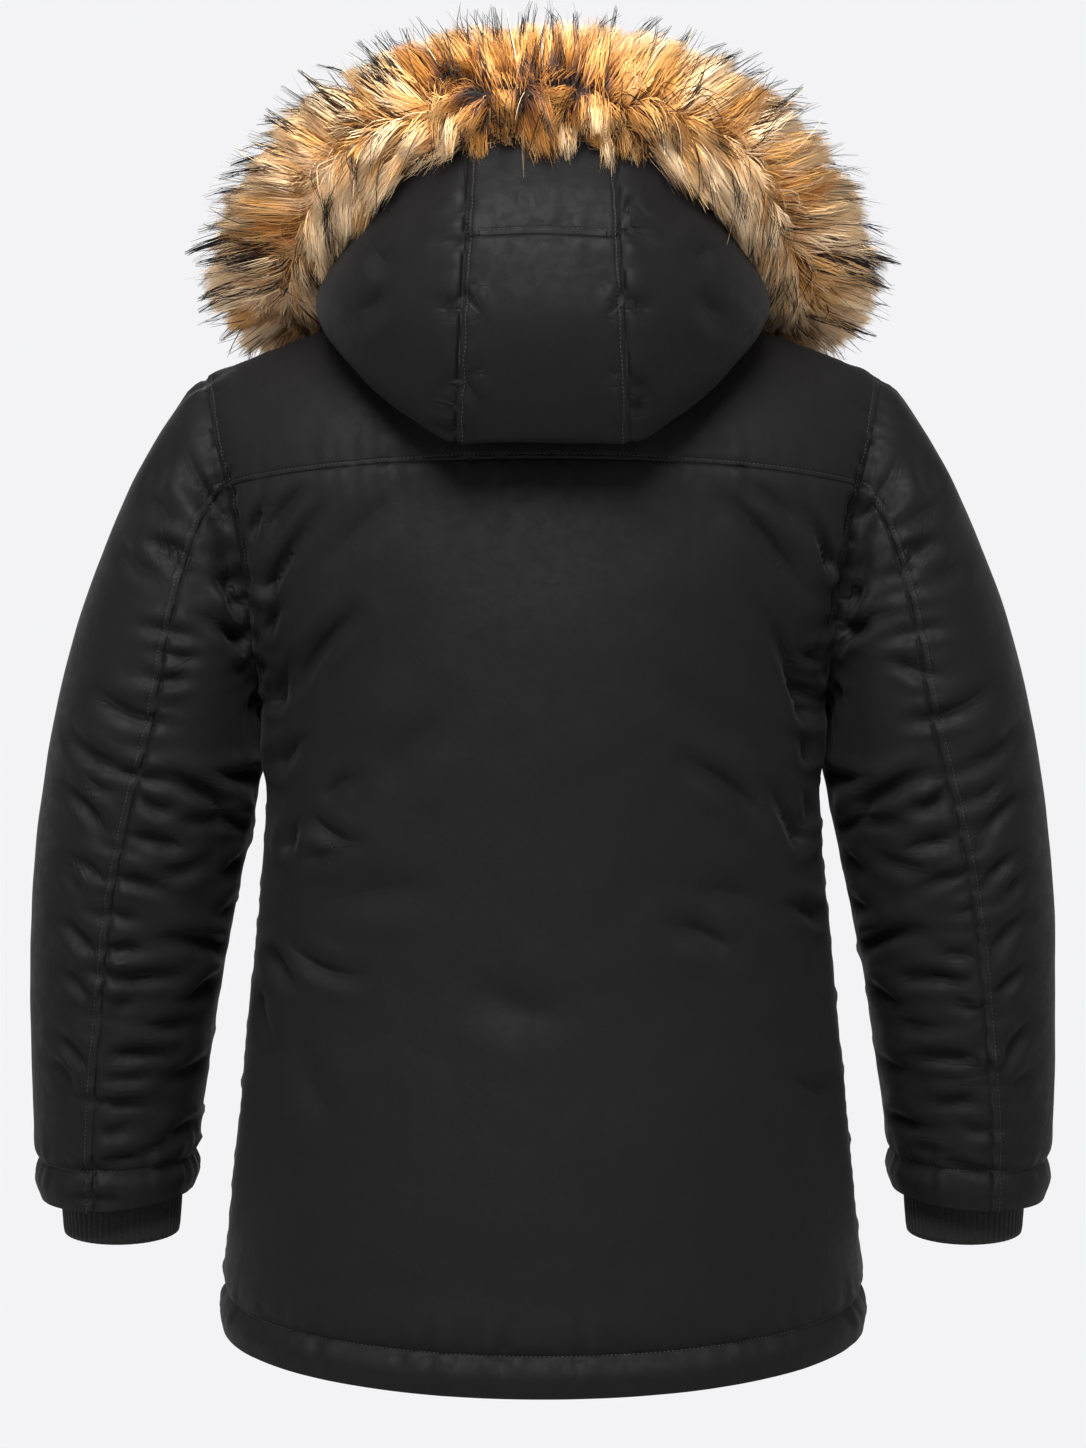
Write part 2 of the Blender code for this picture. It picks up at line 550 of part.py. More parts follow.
def panel(name, grid, normals, thick, material, collection):
    """One cut piece: an outer face, an inner face a cloth's thickness behind it and a rim."""
    outer = inset(grid, SEAM_GAP / 2)
    inner = outer - normals * thick
    rows, columns = grid.shape[:2]
    size = rows * columns
    flat = grid.reshape(-1, 3)
    faces = []
    for i in range(rows - 1):
        for j in range(columns - 1):
            a, b = i * columns + j, (i + 1) * columns + j
            if np.linalg.norm(flat[a] - flat[b + 1]) <= np.linalg.norm(flat[a + 1] - flat[b]):
                halves = [(a, a + 1, b + 1), (a, b + 1, b)]
            else:
                halves = [(a, a + 1, b), (a + 1, b + 1, b)]
            faces += halves
            faces += [(one + size, three + size, two + size) for one, two, three in halves]
    border = [j for j in range(columns)]
    border += [i * columns + columns - 1 for i in range(1, rows)]
    border += [(rows - 1) * columns + j for j in range(columns - 2, -1, -1)]
    border += [i * columns for i in range(rows - 2, 0, -1)]
    seam = [tuple(np.round(abs(point), 6) * (1e6, 1e3, 1)) for point in flat]
    for a, b in zip(border, border[1:] + border[:1]):
        if sum(seam[a]) < sum(seam[b]):  # both panels of a seam split its rim the same way
            faces += [(a, a + size, b + size), (a, b + size, b)]
        else:
            faces += [(a, a + size, b), (a + size, b + size, b)]
    points = np.concatenate([outer.reshape(-1, 3), inner.reshape(-1, 3)])
    return add_object(name, points, faces, material, collection)


def closed_rings(name, rings, material, collection, capped):
    """A solid through rings of equal count: capped at both ends, or else joined last to first."""
    count = len(rings[0])
    points = [point for ring in rings for point in ring]
    faces = []
    spans = len(rings) - 1 if capped else len(rings)
    for i in range(spans):
        a, b = i * count, (i + 1) % len(rings) * count
        for j in range(count):
            k = (j + 1) % count
            faces.append((a + j, a + k, b + k, b + j))
    if capped:
        faces.append(tuple(range(count))[::-1])
        faces.append(tuple(range((len(rings) - 1) * count, len(rings) * count)))
    return add_object(name, points, faces, material, collection)


# ---- The pieces ---------------------------------------------------------------------------------
def ruff_section(turn, side):
    """The points round the fur at one place, on the left (side 1) or the right (side -1)."""
    middle, away, across, reach, thick = ruff_frame(turn)
    ring = []
    for step in range(RUFF_SIDES):
        angle = 2 * math.pi * step / RUFF_SIDES + math.pi / RUFF_SIDES
        point = middle + away * reach * math.cos(angle) + across * thick * math.sin(angle)
        ring.append(point * np.array([side, 1, 1]))
    return ring


def rib_ring(z, half_width, half_depth, side, ribbed):
    """The points round a knitted cuff at one height: ribs stand out on every other point."""
    ring = []
    for step in range(2 * RIB_COUNT):
        angle = math.pi * step / RIB_COUNT
        rise = RIB_HEIGHT * (step % 2) * ribbed
        x = RIB_CENTRE[0] + (half_width + rise) * math.cos(angle)
        y = RIB_CENTRE[1] + (half_depth + rise) * math.sin(angle)
        ring.append(np.array([side * x, y, z - RIB_BACK_DROP * math.sin(angle)]))
    return ring if side > 0 else ring[::-1]


def flare_ring(inwards, side):
    """The points where the knitted cuff meets the inside of the sleeve."""
    row = Oval(RIB_FLARE_ALONG, *from_table(OVALS, RIB_FLARE_ALONG))
    middle = np.array([row.outer_x + row.inner_x, 2 * row.centre_y, row.outer_z + row.inner_z]) / 2
    ring = []
    for step in range(2 * RIB_COUNT):
        point = oval_point(RIB_FLARE_ALONG, math.pi - math.pi * step / RIB_COUNT)
        point = point - unit(point - middle) * inwards
        ring.append(point * np.array([side, 1, 1]))
    return ring if side > 0 else ring[::-1]


def add_cuff(name, side, material, collection):
    """A knitted cuff that shows below the sleeve and flares inside to the sleeve's lining."""
    inside = (RIB_HALF_WIDTH - RIB_WALL, RIB_HALF_DEPTH - RIB_WALL)
    rings = [
        rib_ring(RIB_BOTTOM, RIB_HALF_WIDTH - 0.0006, RIB_HALF_DEPTH - 0.0006, side, 1),
        rib_ring(RIB_TOP, RIB_HALF_WIDTH, RIB_HALF_DEPTH, side, 1),
        flare_ring(CLOTH + 0.0030, side),
        flare_ring(CLOTH + 0.0030 + RIB_WALL, side),
        rib_ring(RIB_TOP, *inside, side, 0),
        rib_ring(RIB_BOTTOM, *inside, side, 0),
    ]
    return closed_rings(name, rings, material, collection, capped=False)


def add_fur(name, material, collection):
    """The fur all round the hood's edge, rounded off at its two ends."""
    turns = [i / RUFF_STEPS for i in range(RUFF_STEPS + 1)]
    rings = [ruff_section(turn, 1) for turn in turns]
    middle, away, across, _, _ = ruff_frame(1)
    ahead = np.cross(away, across)
    for shift, scale in ((0.010, 0.86), (0.018, 0.55)):
        ring = [middle + ahead * shift + (point - middle) * scale for point in rings[RUFF_STEPS]]
        rings.append(ring)
    other = [[point * np.array([-1, 1, 1]) for point in ring] for ring in rings[:0:-1]]
    return closed_rings(name, other + rings, material, collection, capped=True)


def add_zip_tape(name, edge, facing, material, collection):
    """The tape behind the two fronts with its closed chain, from the hem to the throat."""
    deep = CLOTH + 2 * SEAM_GAP
    profile = [
        (ZIP_TAPE_HALF, deep + ZIP_TAPE_THICK),
        (ZIP_TAPE_HALF, deep),
        (ZIP_CHAIN_HALF, deep),
        (ZIP_CHAIN_HALF, deep - ZIP_CHAIN_HIGH),
        (-ZIP_CHAIN_HALF, deep - ZIP_CHAIN_HIGH),
        (-ZIP_CHAIN_HALF, deep),
        (-ZIP_TAPE_HALF, deep),
        (-ZIP_TAPE_HALF, deep + ZIP_TAPE_THICK),
    ]
    rings = []
    for point, normal in zip(edge, facing):
        rings.append([point + np.array([x, 0, 0]) - normal * depth for x, depth in profile])
    return closed_rings(name, rings, material, collection, capped=True)


def add_slider(edge, material, collection):
    """The slider at the top of the zip with its bail, and the pull that hangs from the bail."""
    low, high = edge[-2], edge[-1]
    tilt = math.atan2(high[1] - low[1], high[2] - low[2])
    turn = np.array(
        [[1, 0, 0], [0, math.cos(tilt), math.sin(tilt)], [0, -math.sin(tilt), math.cos(tilt)]]
    )
    place = low + (high - low) * SLIDER_PLACE
    chain_top = CLOTH + 2 * SEAM_GAP - ZIP_CHAIN_HIGH
    face = chain_top - SEAM_GAP - SLIDER_THICK  # the slider's front, below the cloth's own face

    def in_place(points):
        return [turn @ np.array(point) + place for point in points]

    x, z = SLIDER_HALF_WIDTH, SLIDER_HALF_LENGTH
    outline = [(x, -z * 0.6), (x, z * 0.6), (x * 0.7, z), (-x * 0.7, z)]
    outline += [(-x, z * 0.6), (-x, -z * 0.6), (-x * 0.6, -z), (x * 0.6, -z)]
    rings = [in_place([(a, face + depth, b) for a, b in outline]) for depth in (0, SLIDER_THICK)]
    slider = closed_rings("zip_slider", rings, material, collection, capped=True)
    rings = []
    for step in range(9):
        angle = math.pi * step / 8
        radii = (BAIL_RADIUS - BAIL_THICK / 2, BAIL_RADIUS + BAIL_THICK / 2)
        ring = []
        for half, radius in ((1, radii[1]), (-1, radii[1]), (-1, radii[0]), (1, radii[0])):
            out = radius * math.sin(angle) - 0.0006 * (step in (0, 8))
            ring.append((half * BAIL_THICK / 2, face - out, radius * math.cos(angle)))
        rings.append(in_place(ring))
    bail = closed_rings("bail", rings, material, collection, capped=True)
    bail.hide_render = True
    bail.display_type = "WIRE"
    join = slider.modifiers.new("bail", "BOOLEAN")
    join.operation = "UNION"
    join.object = bail

    # The pull is a plate with a window, whose top bar passes under the bail. It turns about that bar.
    bar = PULL_THICK / 2
    outer = [(PULL_HALF_WIDTH, bar), (-PULL_HALF_WIDTH, bar)]
    outer += [(-PULL_HALF_WIDTH * 0.8, -PULL_LENGTH), (PULL_HALF_WIDTH * 0.8, -PULL_LENGTH)]
    window = [(PULL_WINDOW_HALF, -bar), (-PULL_WINDOW_HALF, -bar)]
    window += [(-PULL_WINDOW_HALF, -PULL_WINDOW_LOW), (PULL_WINDOW_HALF, -PULL_WINDOW_LOW)]
    rings = []
    for (a, b), (c, d) in zip(outer, window):
        ring = [(a, -bar, b), (a, bar, b), (c, bar, d), (c, -bar, d)]
        rings.append([turn @ np.array(point) for point in ring])
    pull = closed_rings("zip_pull", rings, material, collection, capped=False)
    pull.location = turn @ np.array([0, face - PULL_STAND_OFF, 0]) + place
    return slider, pull


def build():
    for item in list(bpy.data.objects):
        bpy.data.objects.remove(item, do_unlink=True)
    collection = bpy.data.collections.new("parka")
    bpy.context.scene.collection.children.link(collection)
    cloth = fabric("black_cloth", (0.0185, 0.0175, 0.0180), 0.72)
    knit = fabric("black_knit", (0.0120, 0.0115, 0.0120), 0.85)
    fur = fabric("brown_fur", (0.2500, 0.1450, 0.0700), 0.80)
    tape = fabric("zip_tape", (0.0100, 0.0100, 0.0105), 0.75)
    metal = fabric("dark_metal", (0.0600, 0.0600, 0.0620), 0.35, 1.0)

    # The body's grids, each facing outwards.
    body_rows = BODY_ROWS + ARMHOLE_ROWS[1:]
    front_rows = body_rows + YOKE_ROWS[1:]
    back_half = np.array([[body_point(s, up, 1) for s in ACROSS[::-1]] for up in front_rows])
    back = np.concatenate([back_half, mirrored(back_half)[:, 1:]], axis=1)
    front_left = np.array([[front_point(s, up) for s in ACROSS] for up in front_rows])
    sleeve_left = sleeve_grid()
    hood_left = hood_half()
    hood = np.concatenate([hood_left, mirrored(hood_left)[:, 1:]], axis=1)
    grids = [back, front_left, mirrored(front_left), sleeve_left, mirrored(sleeve_left), hood]

    # Folds and bands, which leave the armholes and the neckline where they are.
    normals = shared_normals(grids)
    body_bands = [BODY_BAND.get(up, 0) for up in front_rows]
    sleeve_bands = [SLEEVE_BAND.get(along, 0) for along in SLEEVE_ROWS]
    armpit = BODY_ROWS.index(1.0)
    held_back = np.zeros(back.shape[:2], bool)
    held_back[armpit:, 0] = held_back[armpit:, -1] = held_back[-1] = True
    held_front = np.zeros(front_left.shape[:2], bool)
    held_front[armpit:, -1] = held_front[-1] = True
    held_sleeve = np.zeros(sleeve_left.shape[:2], bool)
    held_sleeve[0] = True
    grids[0] = relieved(back, normals[0], BODY_FOLDS, body_bands, held_back)
    grids[1] = relieved(front_left, normals[1], BODY_FOLDS, body_bands, held_front)
    grids[2] = mirrored(grids[1])
    grids[3] = relieved(sleeve_left, normals[3], SLEEVE_FOLDS, sleeve_bands, held_sleeve)
    grids[4] = mirrored(grids[3])
    normals = shared_normals(grids)

    # Cutting the grids into the pieces that are sewn together.
    yoke = len(body_rows) - 1
    seam_back, seam_front = SLEEVE_SEAM_BACK, SLEEVE_SEAM_FRONT
    last = sleeve_left.shape[1] - 1
    under = list(range(seam_front, last)) + list(range(seam_back + 1))
    top = list(range(seam_back, seam_front + 1))
    mirror_under = [last - j for j in under][::-1]
    mirror_top = [last - j for j in top][::-1]
    cross = HOOD_ROWS.index(HOOD_CROSS_SEAM)
    strip = slice(HOOD_COLUMNS - STRIP_STEPS, HOOD_COLUMNS + STRIP_STEPS + 1)
    pieces = [
        ("back_panel", 0, slice(0, yoke + 1), slice(None)),
        ("back_yoke", 0, slice(yoke, None), slice(None)),
        ("front_left", 1, slice(None), slice(None)),
        ("front_right", 2, slice(None), slice(None)),
        ("sleeve_top_left", 3, slice(None), top),
        ("sleeve_under_left", 3, slice(None), under),
        ("sleeve_top_right", 4, slice(None), mirror_top),
        ("sleeve_under_right", 4, slice(None), mirror_under),
        ("hood_back", 5, slice(0, cross + 1), strip),
        ("hood_crown", 5, slice(cross, None), strip),
        ("hood_side_left", 5, slice(None), slice(0, strip.start + 1)),
        ("hood_side_right", 5, slice(None), slice(strip.stop - 1, None)),
    ]
    for name, index, rows, columns in pieces:
        grid, facing = grids[index][rows][:, columns], normals[index][rows][:, columns]
        thick = np.full((len(grid), 1, 1), HOOD_CLOTH if index == 5 else CLOTH)
        thick[0] = HOOD_CLOTH if name == "hood_crown" else CLOTH  # the rims of a seam match
        panel(name, grid, facing, thick, cloth, collection)

    add_cuff("rib_cuff_left", 1, knit, collection)
    add_cuff("rib_cuff_right", -1, knit, collection)
    add_fur("fur_ruff", fur, collection)
    edge = grids[1][:, 0] * np.array([0, 1, 1])
    facing = normals[1][:, 0] * np.array([0, 1, 1])
    facing = facing / np.linalg.norm(facing, axis=1, keepdims=True)
    add_zip_tape("zip_tape", edge, facing, tape, collection)
    add_slider(edge, metal, collection)


build()
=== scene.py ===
# %% [markdown]
# A padded parka with a fur-trimmed hood, shown from behind as it is worn. The frame is the coat's
# engineering model: plain closed panels that already have the right size and place. This script dresses
# that frame. It cuts the same panels again on a finer grid, adds the creases, seams, stitches, ribs, zip
# and fur that make cloth look like cloth, and gives each finish its own material.

import math
from collections import namedtuple

import bmesh
import bpy
import numpy as np
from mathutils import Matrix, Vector, kdtree, noise


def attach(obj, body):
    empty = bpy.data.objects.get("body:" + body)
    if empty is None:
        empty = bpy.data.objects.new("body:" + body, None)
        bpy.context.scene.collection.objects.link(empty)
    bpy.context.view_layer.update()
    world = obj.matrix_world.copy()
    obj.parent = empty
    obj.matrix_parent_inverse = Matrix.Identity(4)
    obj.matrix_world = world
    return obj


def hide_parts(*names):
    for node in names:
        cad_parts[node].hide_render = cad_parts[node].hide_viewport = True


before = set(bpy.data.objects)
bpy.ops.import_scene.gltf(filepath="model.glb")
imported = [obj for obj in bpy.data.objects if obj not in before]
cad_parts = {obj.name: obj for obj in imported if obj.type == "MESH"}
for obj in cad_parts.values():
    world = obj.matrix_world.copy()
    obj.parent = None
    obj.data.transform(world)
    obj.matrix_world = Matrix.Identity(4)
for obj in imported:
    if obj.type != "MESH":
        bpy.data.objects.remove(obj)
bpy.context.view_layer.update()

# %% [markdown]
# The coat's sizes are kept in small tables. Colours are written as hex values read off a swatch. Shaders
# work in linear light, so one function turns a hex value into linear numbers. A second small function adds
# a shader node, sets it and links it, and the others are short words for the nodes that several finishes
# share.

# %% Tables and new objects
def table(name, columns, *rows):
    """Rows of values under named columns."""
    kind = namedtuple(name, columns)
    return [kind(*row) for row in rows]


def link_new(name, data):
    """A new object in the scene."""
    item = bpy.data.objects.new(name, data)
    bpy.context.scene.collection.objects.link(item)
    return item


def new_object(name, points, faces, finish, smooth=True):
    """An object with a mesh of its own."""
    mesh = bpy.data.meshes.new(name)
    mesh.from_pydata(np.reshape(points, (-1, 3)).tolist(), [], faces)
    mesh.materials.append(finish)
    if smooth:
        mesh.shade_smooth()
    return link_new(name, mesh)

# %% Colours and nodes
def colour(hex_value):
    """A hex colour from a swatch as linear red, green, blue and alpha."""
    parts = [int(hex_value[i : i + 2], 16) / 255 for i in (1, 3, 5)]
    return tuple(c / 12.92 if c <= 0.04045 else ((c + 0.055) / 1.055) ** 2.4 for c in parts) + (1.0,)


def add_node(tree, kind, inputs=None, **settings):
    """Adds one node. An input is a value, or the output socket that it is linked to."""
    item = tree.nodes.new(kind)
    for name, value in settings.items():
        setattr(item, name, value)
    for key, value in (inputs or {}).items():
        if isinstance(value, bpy.types.NodeSocket):
            tree.links.new(value, item.inputs[key])
        else:
            item.inputs[key].default_value = value
    return item


def new_finish(name):
    """A material with an empty tree, and that tree."""
    material = bpy.data.materials.new(name)
    material.use_nodes = True
    material.node_tree.nodes.clear()
    return material, material.node_tree

# %% Nodes that several finishes share
def object_place(tree):
    return add_node(tree, "ShaderNodeTexCoord").outputs["Object"]


def noise_of(tree, place, scale, detail, distortion=0.0):
    inputs = {"Vector": place, "Scale": scale, "Detail": detail, "Distortion": distortion}
    return add_node(tree, "ShaderNodeTexNoise", inputs).outputs["Fac"]


def math_of(tree, operation, *values):
    return add_node(tree, "ShaderNodeMath", dict(enumerate(values)), operation=operation).outputs[0]


def times(tree, one, other):
    return math_of(tree, "MULTIPLY", one, other)


def sum_of(tree, values):
    total = values[0]
    for value in values[1:]:
        total = math_of(tree, "ADD", total, value)
    return total


def thread_wave(tree, value, pitch):
    return math_of(tree, "SINE", times(tree, value, 2 * math.pi / pitch))


def range_of(tree, value, low, high, to_low, to_high, kind="SMOOTHSTEP"):
    """A value carried from one range to another, smoothly unless the kind says otherwise."""
    inputs = {"Value": value, "From Min": low, "From Max": high, "To Min": to_low, "To Max": to_high}
    return add_node(tree, "ShaderNodeMapRange", inputs, interpolation_type=kind).outputs["Result"]


def blend(tree, factor, one, other):
    inputs = {"Factor": factor, "A": one, "B": other}
    return add_node(tree, "ShaderNodeMix", inputs, data_type="RGBA").outputs["Result"]


def end_finish(tree, look, height=None, distance=1.0, strength=1.0):
    """Ends a material with a Principled shader of this look, over a bump of this height in metres."""
    if height is not None:
        relief = {"Height": height, "Distance": distance, "Strength": strength}
        look = look | {"Normal": add_node(tree, "ShaderNodeBump", relief).outputs["Normal"]}
    shader = add_node(tree, "ShaderNodeBsdfPrincipled", look)
    add_node(tree, "ShaderNodeOutputMaterial", {"Surface": shader.outputs[0]})

# %% [markdown]
# A long lens from three metres keeps the coat's proportions calm, as a catalogue picture does. The camera
# stands straight behind the coat, level with the small of the back, and looks along -Y.

# %% Camera
CAMERA_DISTANCE = 3.0  # metres from the side seams
CAMERA_HEIGHT = -0.3095
SENSOR_WIDTH = 36.0
FRAME_TALL, METRES_PER_PIXEL = 1448, 0.00073
camera_data = bpy.data.cameras.new("catalogue_camera")
camera_data.sensor_fit = "AUTO"
camera_data.sensor_width = SENSOR_WIDTH
camera_data.lens = SENSOR_WIDTH * CAMERA_DISTANCE / (FRAME_TALL * METRES_PER_PIXEL)
camera = link_new("catalogue_camera", camera_data)
camera.location = (0, CAMERA_DISTANCE, CAMERA_HEIGHT)
camera.rotation_euler = (math.radians(90), 0, math.radians(180))
bpy.context.scene.camera = camera
print("lens:", round(camera_data.lens, 1), "mm")

# %% [markdown]
# The studio is a pale room: an even pale surround, a large softbox above and behind the camera, and a
# weaker one low at each side. Black cloth shows its folds only where soft light falls across them from
# above.

# %% Studio light and floor
world = bpy.data.worlds.new("pale_studio")
bpy.context.scene.world = world
world.use_nodes = True
surround = world.node_tree.nodes["Background"]
surround.inputs["Color"].default_value = colour("#F3F3F5")
way = add_node(world.node_tree, "ShaderNodeTexCoord").outputs["Generated"]
height = add_node(world.node_tree, "ShaderNodeSeparateXYZ", {0: way}).outputs["Z"]
low = range_of(world.node_tree, height, -0.30, -0.19, 0.12, 1.0)
high = range_of(world.node_tree, height, 0.19, 0.34, 1.0, 0.22)
world.node_tree.links.new(times(world.node_tree, low, high), surround.inputs["Strength"])
bpy.context.scene.view_settings.view_transform = "Standard"

SOFTBOXES = table(
    "Softbox", "name place size watts",
    ("softbox_top", (0.22, 2.1, 2.15), 1.9, 300),
    ("softbox_left", (2.3, 1.4, 1.0), 1.0, 9),
    ("softbox_right", (-2.3, 1.4, 1.0), 1.0, 9),
    ("softbox_front", (0.3, -2.0, 1.8), 1.2, 55),
)
for box in SOFTBOXES:
    lamp = bpy.data.lights.new(box.name, "AREA")
    lamp.shape, lamp.size, lamp.energy = "DISK", box.size, box.watts
    item = link_new(box.name, lamp)
    item.location = box.place
    aim = Vector((0, 0, -0.3)) - Vector(box.place)
    item.rotation_euler = aim.to_track_quat("-Z", "Y").to_euler()

FLOOR_HEIGHT, FLOOR_HALF = -1.45, 3.1
floor_paint, tree = new_finish("matt_floor_paint")
end_finish(tree, {"Base Color": colour("#CDCDD0"), "Roughness": 0.9})
corners = [(x * FLOOR_HALF, y * FLOOR_HALF, FLOOR_HEIGHT) for x, y in ((-1, -1), (1, -1), (1, 1), (-1, 1))]
floor = new_object("studio_floor", corners, [(0, 1, 2, 3)], floor_paint, smooth=False)

# %% [markdown]
# The coat's cut. The body is a stack of ovals from hem to armpit, then an armhole and a yoke that close
# over to the neckline. Each sleeve is a fan of ovals, and the hood is a row of hoops from the neckline to
# the fur. These are the driving sizes of the coat, so what is built here lies on the frame's own panels.

# %% Driving sizes, in metres
CLOTH, HOOD_CLOTH, SEAM_GAP = 0.004, 0.003, 0.0003
OVAL_FLATNESS = 0.85
SHOULDER_TIP = np.array([0.2467, 0.0, -0.0547])
NECK_SIDE = np.array([0.085, -0.005, 0.008])
NAPE = np.array([0.0, 0.072, 0.0])
THROAT = np.array([0.0, -0.092, -0.055])
ARMPIT = np.array([0.203, 0.0, -0.300])
ARMHOLE_HALF_DEPTH, ARMHOLE_TURN_TO_YOKE, ARMHOLE_LEAN = 0.078, math.radians(107), 1.2
STITCH_DIP, BAND_PUFF = 0.0015, 0.0020
ZIP_EDGE = 0.006
HOOD_STRIP_HALF, HOOD_STRIP_CROWN, HOOD_CROSS_SEAM = 0.055, 0.004, 0.776
CUFF_SEAM, BAND_EDGE = 0.948, 0.0010

LEVELS = table(
    "Level", "up back_z back_y front_z front_y",
    (0.00, -0.777, 0.158, -0.741, -0.156),
    (0.18, -0.683, 0.156, -0.660, -0.153),
    (0.36, -0.596, 0.152, -0.584, -0.149),
    (0.55, -0.505, 0.147, -0.500, -0.145),
    (0.75, -0.411, 0.148, -0.410, -0.144),
    (1.00, -0.300, 0.152, -0.300, -0.145),
    (1.50, -0.210, 0.151, -0.225, -0.139),
    (2.00, -0.1244, 0.141, -0.150, -0.127),
)
SIDES = table(
    "Side", "up z half_width",
    (0.00, -0.742, 0.2350), (0.18, -0.660, 0.2288), (0.36, -0.584, 0.2212), (0.55, -0.500, 0.2135),
    (0.75, -0.410, 0.2050), (0.90, -0.344, 0.2015), (1.00, -0.300, 0.2030),
)
OVALS = table(
    "Oval", "along outer_x outer_z inner_x inner_z half_depth centre_y back_drop seam_turn",
    (0.00, 0.2467, -0.0547, 0.2030, -0.3000, 0.078, 0.000, 0.000, 102),
    (0.06, 0.2600, -0.0680, 0.2076, -0.3010, 0.080, 0.000, 0.000, 100),
    (0.14, 0.2860, -0.1090, 0.2078, -0.3070, 0.083, 0.001, 0.000, 97),
    (0.28, 0.3230, -0.1900, 0.2064, -0.3190, 0.085, 0.002, 0.000, 92),
    (0.42, 0.3500, -0.2770, 0.2056, -0.3400, 0.083, 0.002, 0.000, 89),
    (0.55, 0.3655, -0.3630, 0.2105, -0.3720, 0.080, 0.000, 0.001, 93),
    (0.67, 0.3735, -0.4450, 0.2245, -0.4400, 0.075, -0.006, 0.002, 97),
    (0.79, 0.3752, -0.5300, 0.2395, -0.5200, 0.068, -0.016, 0.004, 99),
    (0.90, 0.3752, -0.6000, 0.2510, -0.5980, 0.062, -0.028, 0.007, 101),
    (1.00, 0.3715, -0.6560, 0.2560, -0.6490, 0.058, -0.036, 0.010, 102),
)
HOOPS = table(
    "Hoop", "along back_y back_z side_x side_y side_z bone_x bone_y bone_z front_x front_y front_z",
    (0.00, 0.072, 0.000, 0.085, -0.005, 0.008, 0.055, -0.071, -0.040, 0.006, -0.092, -0.055),
    (0.12, 0.102, 0.012, 0.097, 0.008, 0.032, 0.067, -0.074, -0.014, 0.012, -0.102, -0.040),
    (0.30, 0.150, -0.056, 0.124, 0.030, 0.032, 0.085, -0.073, 0.001, 0.020, -0.110, -0.034),
    (0.45, 0.181, -0.118, 0.160, 0.050, 0.001, 0.102, -0.070, 0.004, 0.028, -0.115, -0.034),
    (0.54, 0.201, -0.086, 0.172, 0.058, -0.015, 0.112, -0.068, 0.004, 0.032, -0.117, -0.035),
    (0.62, 0.213, -0.043, 0.177, 0.066, -0.014, 0.119, -0.066, 0.004, 0.036, -0.119, -0.037),
    (0.72, 0.213, -0.001, 0.173, 0.072, -0.002, 0.126, -0.062, 0.005, 0.041, -0.121, -0.039),
    (0.82, 0.205, 0.036, 0.162, 0.072, 0.013, 0.132, -0.058, 0.006, 0.046, -0.122, -0.042),
    (1.00, 0.172, 0.088, 0.139, 0.062, 0.033, 0.145, -0.050, 0.011, 0.056, -0.125, -0.048),
)
HOOD_STRIP = table(
    "StripWidth", "along half_width",
    (0.00, 0.0550), (0.12, 0.0560), (0.46, 0.0600), (0.70, 0.0560), (1.00, 0.0535),
)
RUFFS = table(
    "Ruff", "turn x y z away_x away_y away_z reach half_thick",
    (0.00, 0.000, 0.150, 0.136, 0.00, -0.42, 0.91, 0.046, 0.034),
    (0.14, 0.050, 0.145, 0.132, 0.10, -0.42, 0.90, 0.047, 0.034),
    (0.28, 0.100, 0.130, 0.118, 0.28, -0.40, 0.87, 0.048, 0.035),
    (0.42, 0.145, 0.100, 0.092, 0.55, -0.25, 0.80, 0.047, 0.036),
    (0.53, 0.178, 0.060, 0.056, 0.85, -0.05, 0.50, 0.046, 0.036),
    (0.63, 0.196, 0.015, 0.020, 0.97, 0.00, 0.10, 0.045, 0.036),
    (0.73, 0.190, -0.040, 0.000, 0.93, -0.10, -0.30, 0.043, 0.035),
    (0.85, 0.147, -0.098, -0.028, 0.60, -0.35, -0.70, 0.040, 0.033),
    (1.00, 0.064, -0.140, -0.080, 0.22, -0.42, -0.88, 0.036, 0.029),
)
HOOD_LOWEST = 0.5
NECK_STEPS, STRIP_STEPS, SHOULDER_STEPS = 6, 3, 5
HOOD_COLUMNS, HOOD_SIDE_SHIFT, HOOD_EASING, HOOD_EASED_ROW = 12, 1.0, 5, 4
BODY_ROWS = [0.0, 0.028, 0.056, 0.070, 0.14, 0.23, 0.32, 0.41, 0.50, 0.59, 0.68, 0.77, 0.85, 0.93, 1.0]
BODY_BAND = {0.0: -BAND_EDGE, 0.028: BAND_PUFF, 0.056: -STITCH_DIP}
ARMHOLE_ROWS = [1.0, 1.14, 1.30, 1.47, 1.64, 1.82, 2.0]
YOKE_ROWS = [2.0, 2.16, 2.34, 2.54, 2.76, 3.0]
SLEEVE_ROWS = [0, 0.03, 0.10, 0.17, 0.24, 0.30, 0.36, 0.42, 0.48, 0.53, 0.575, 0.62, 0.665]
SLEEVE_ROWS += [0.71, 0.755, 0.80, 0.85, 0.90, 0.935, CUFF_SEAM, 0.974, 1.0]
SLEEVE_BAND = {CUFF_SEAM: -STITCH_DIP, 0.974: BAND_PUFF, 1.0: -BAND_EDGE}
SLEEVE_SEAM_BACK = len(ARMHOLE_ROWS) - 1
SLEEVE_SEAM_FRONT = 2 * (len(ARMHOLE_ROWS) + len(YOKE_ROWS) - 2) - 2
HOOD_ROWS = [0, 0.05, 0.12, 0.20, 0.28, 0.35, 0.41, 0.46, 0.51, 0.57, 0.64, 0.71, HOOD_CROSS_SEAM]
HOOD_ROWS += [0.87, 0.94, 1.0]
FLIP = np.array([-1, 1, 1])  # to the coat's other side

# %% [markdown]
# Each panel starts as a coarse net of points. Curves through the tables give the points, so two panels that
# are sewn together get the same ones along their seam.

# %% Curves and helpers
def smooth_step(t):
    t = np.clip(t, 0.0, 1.0)
    return t * t * (3 - 2 * t)


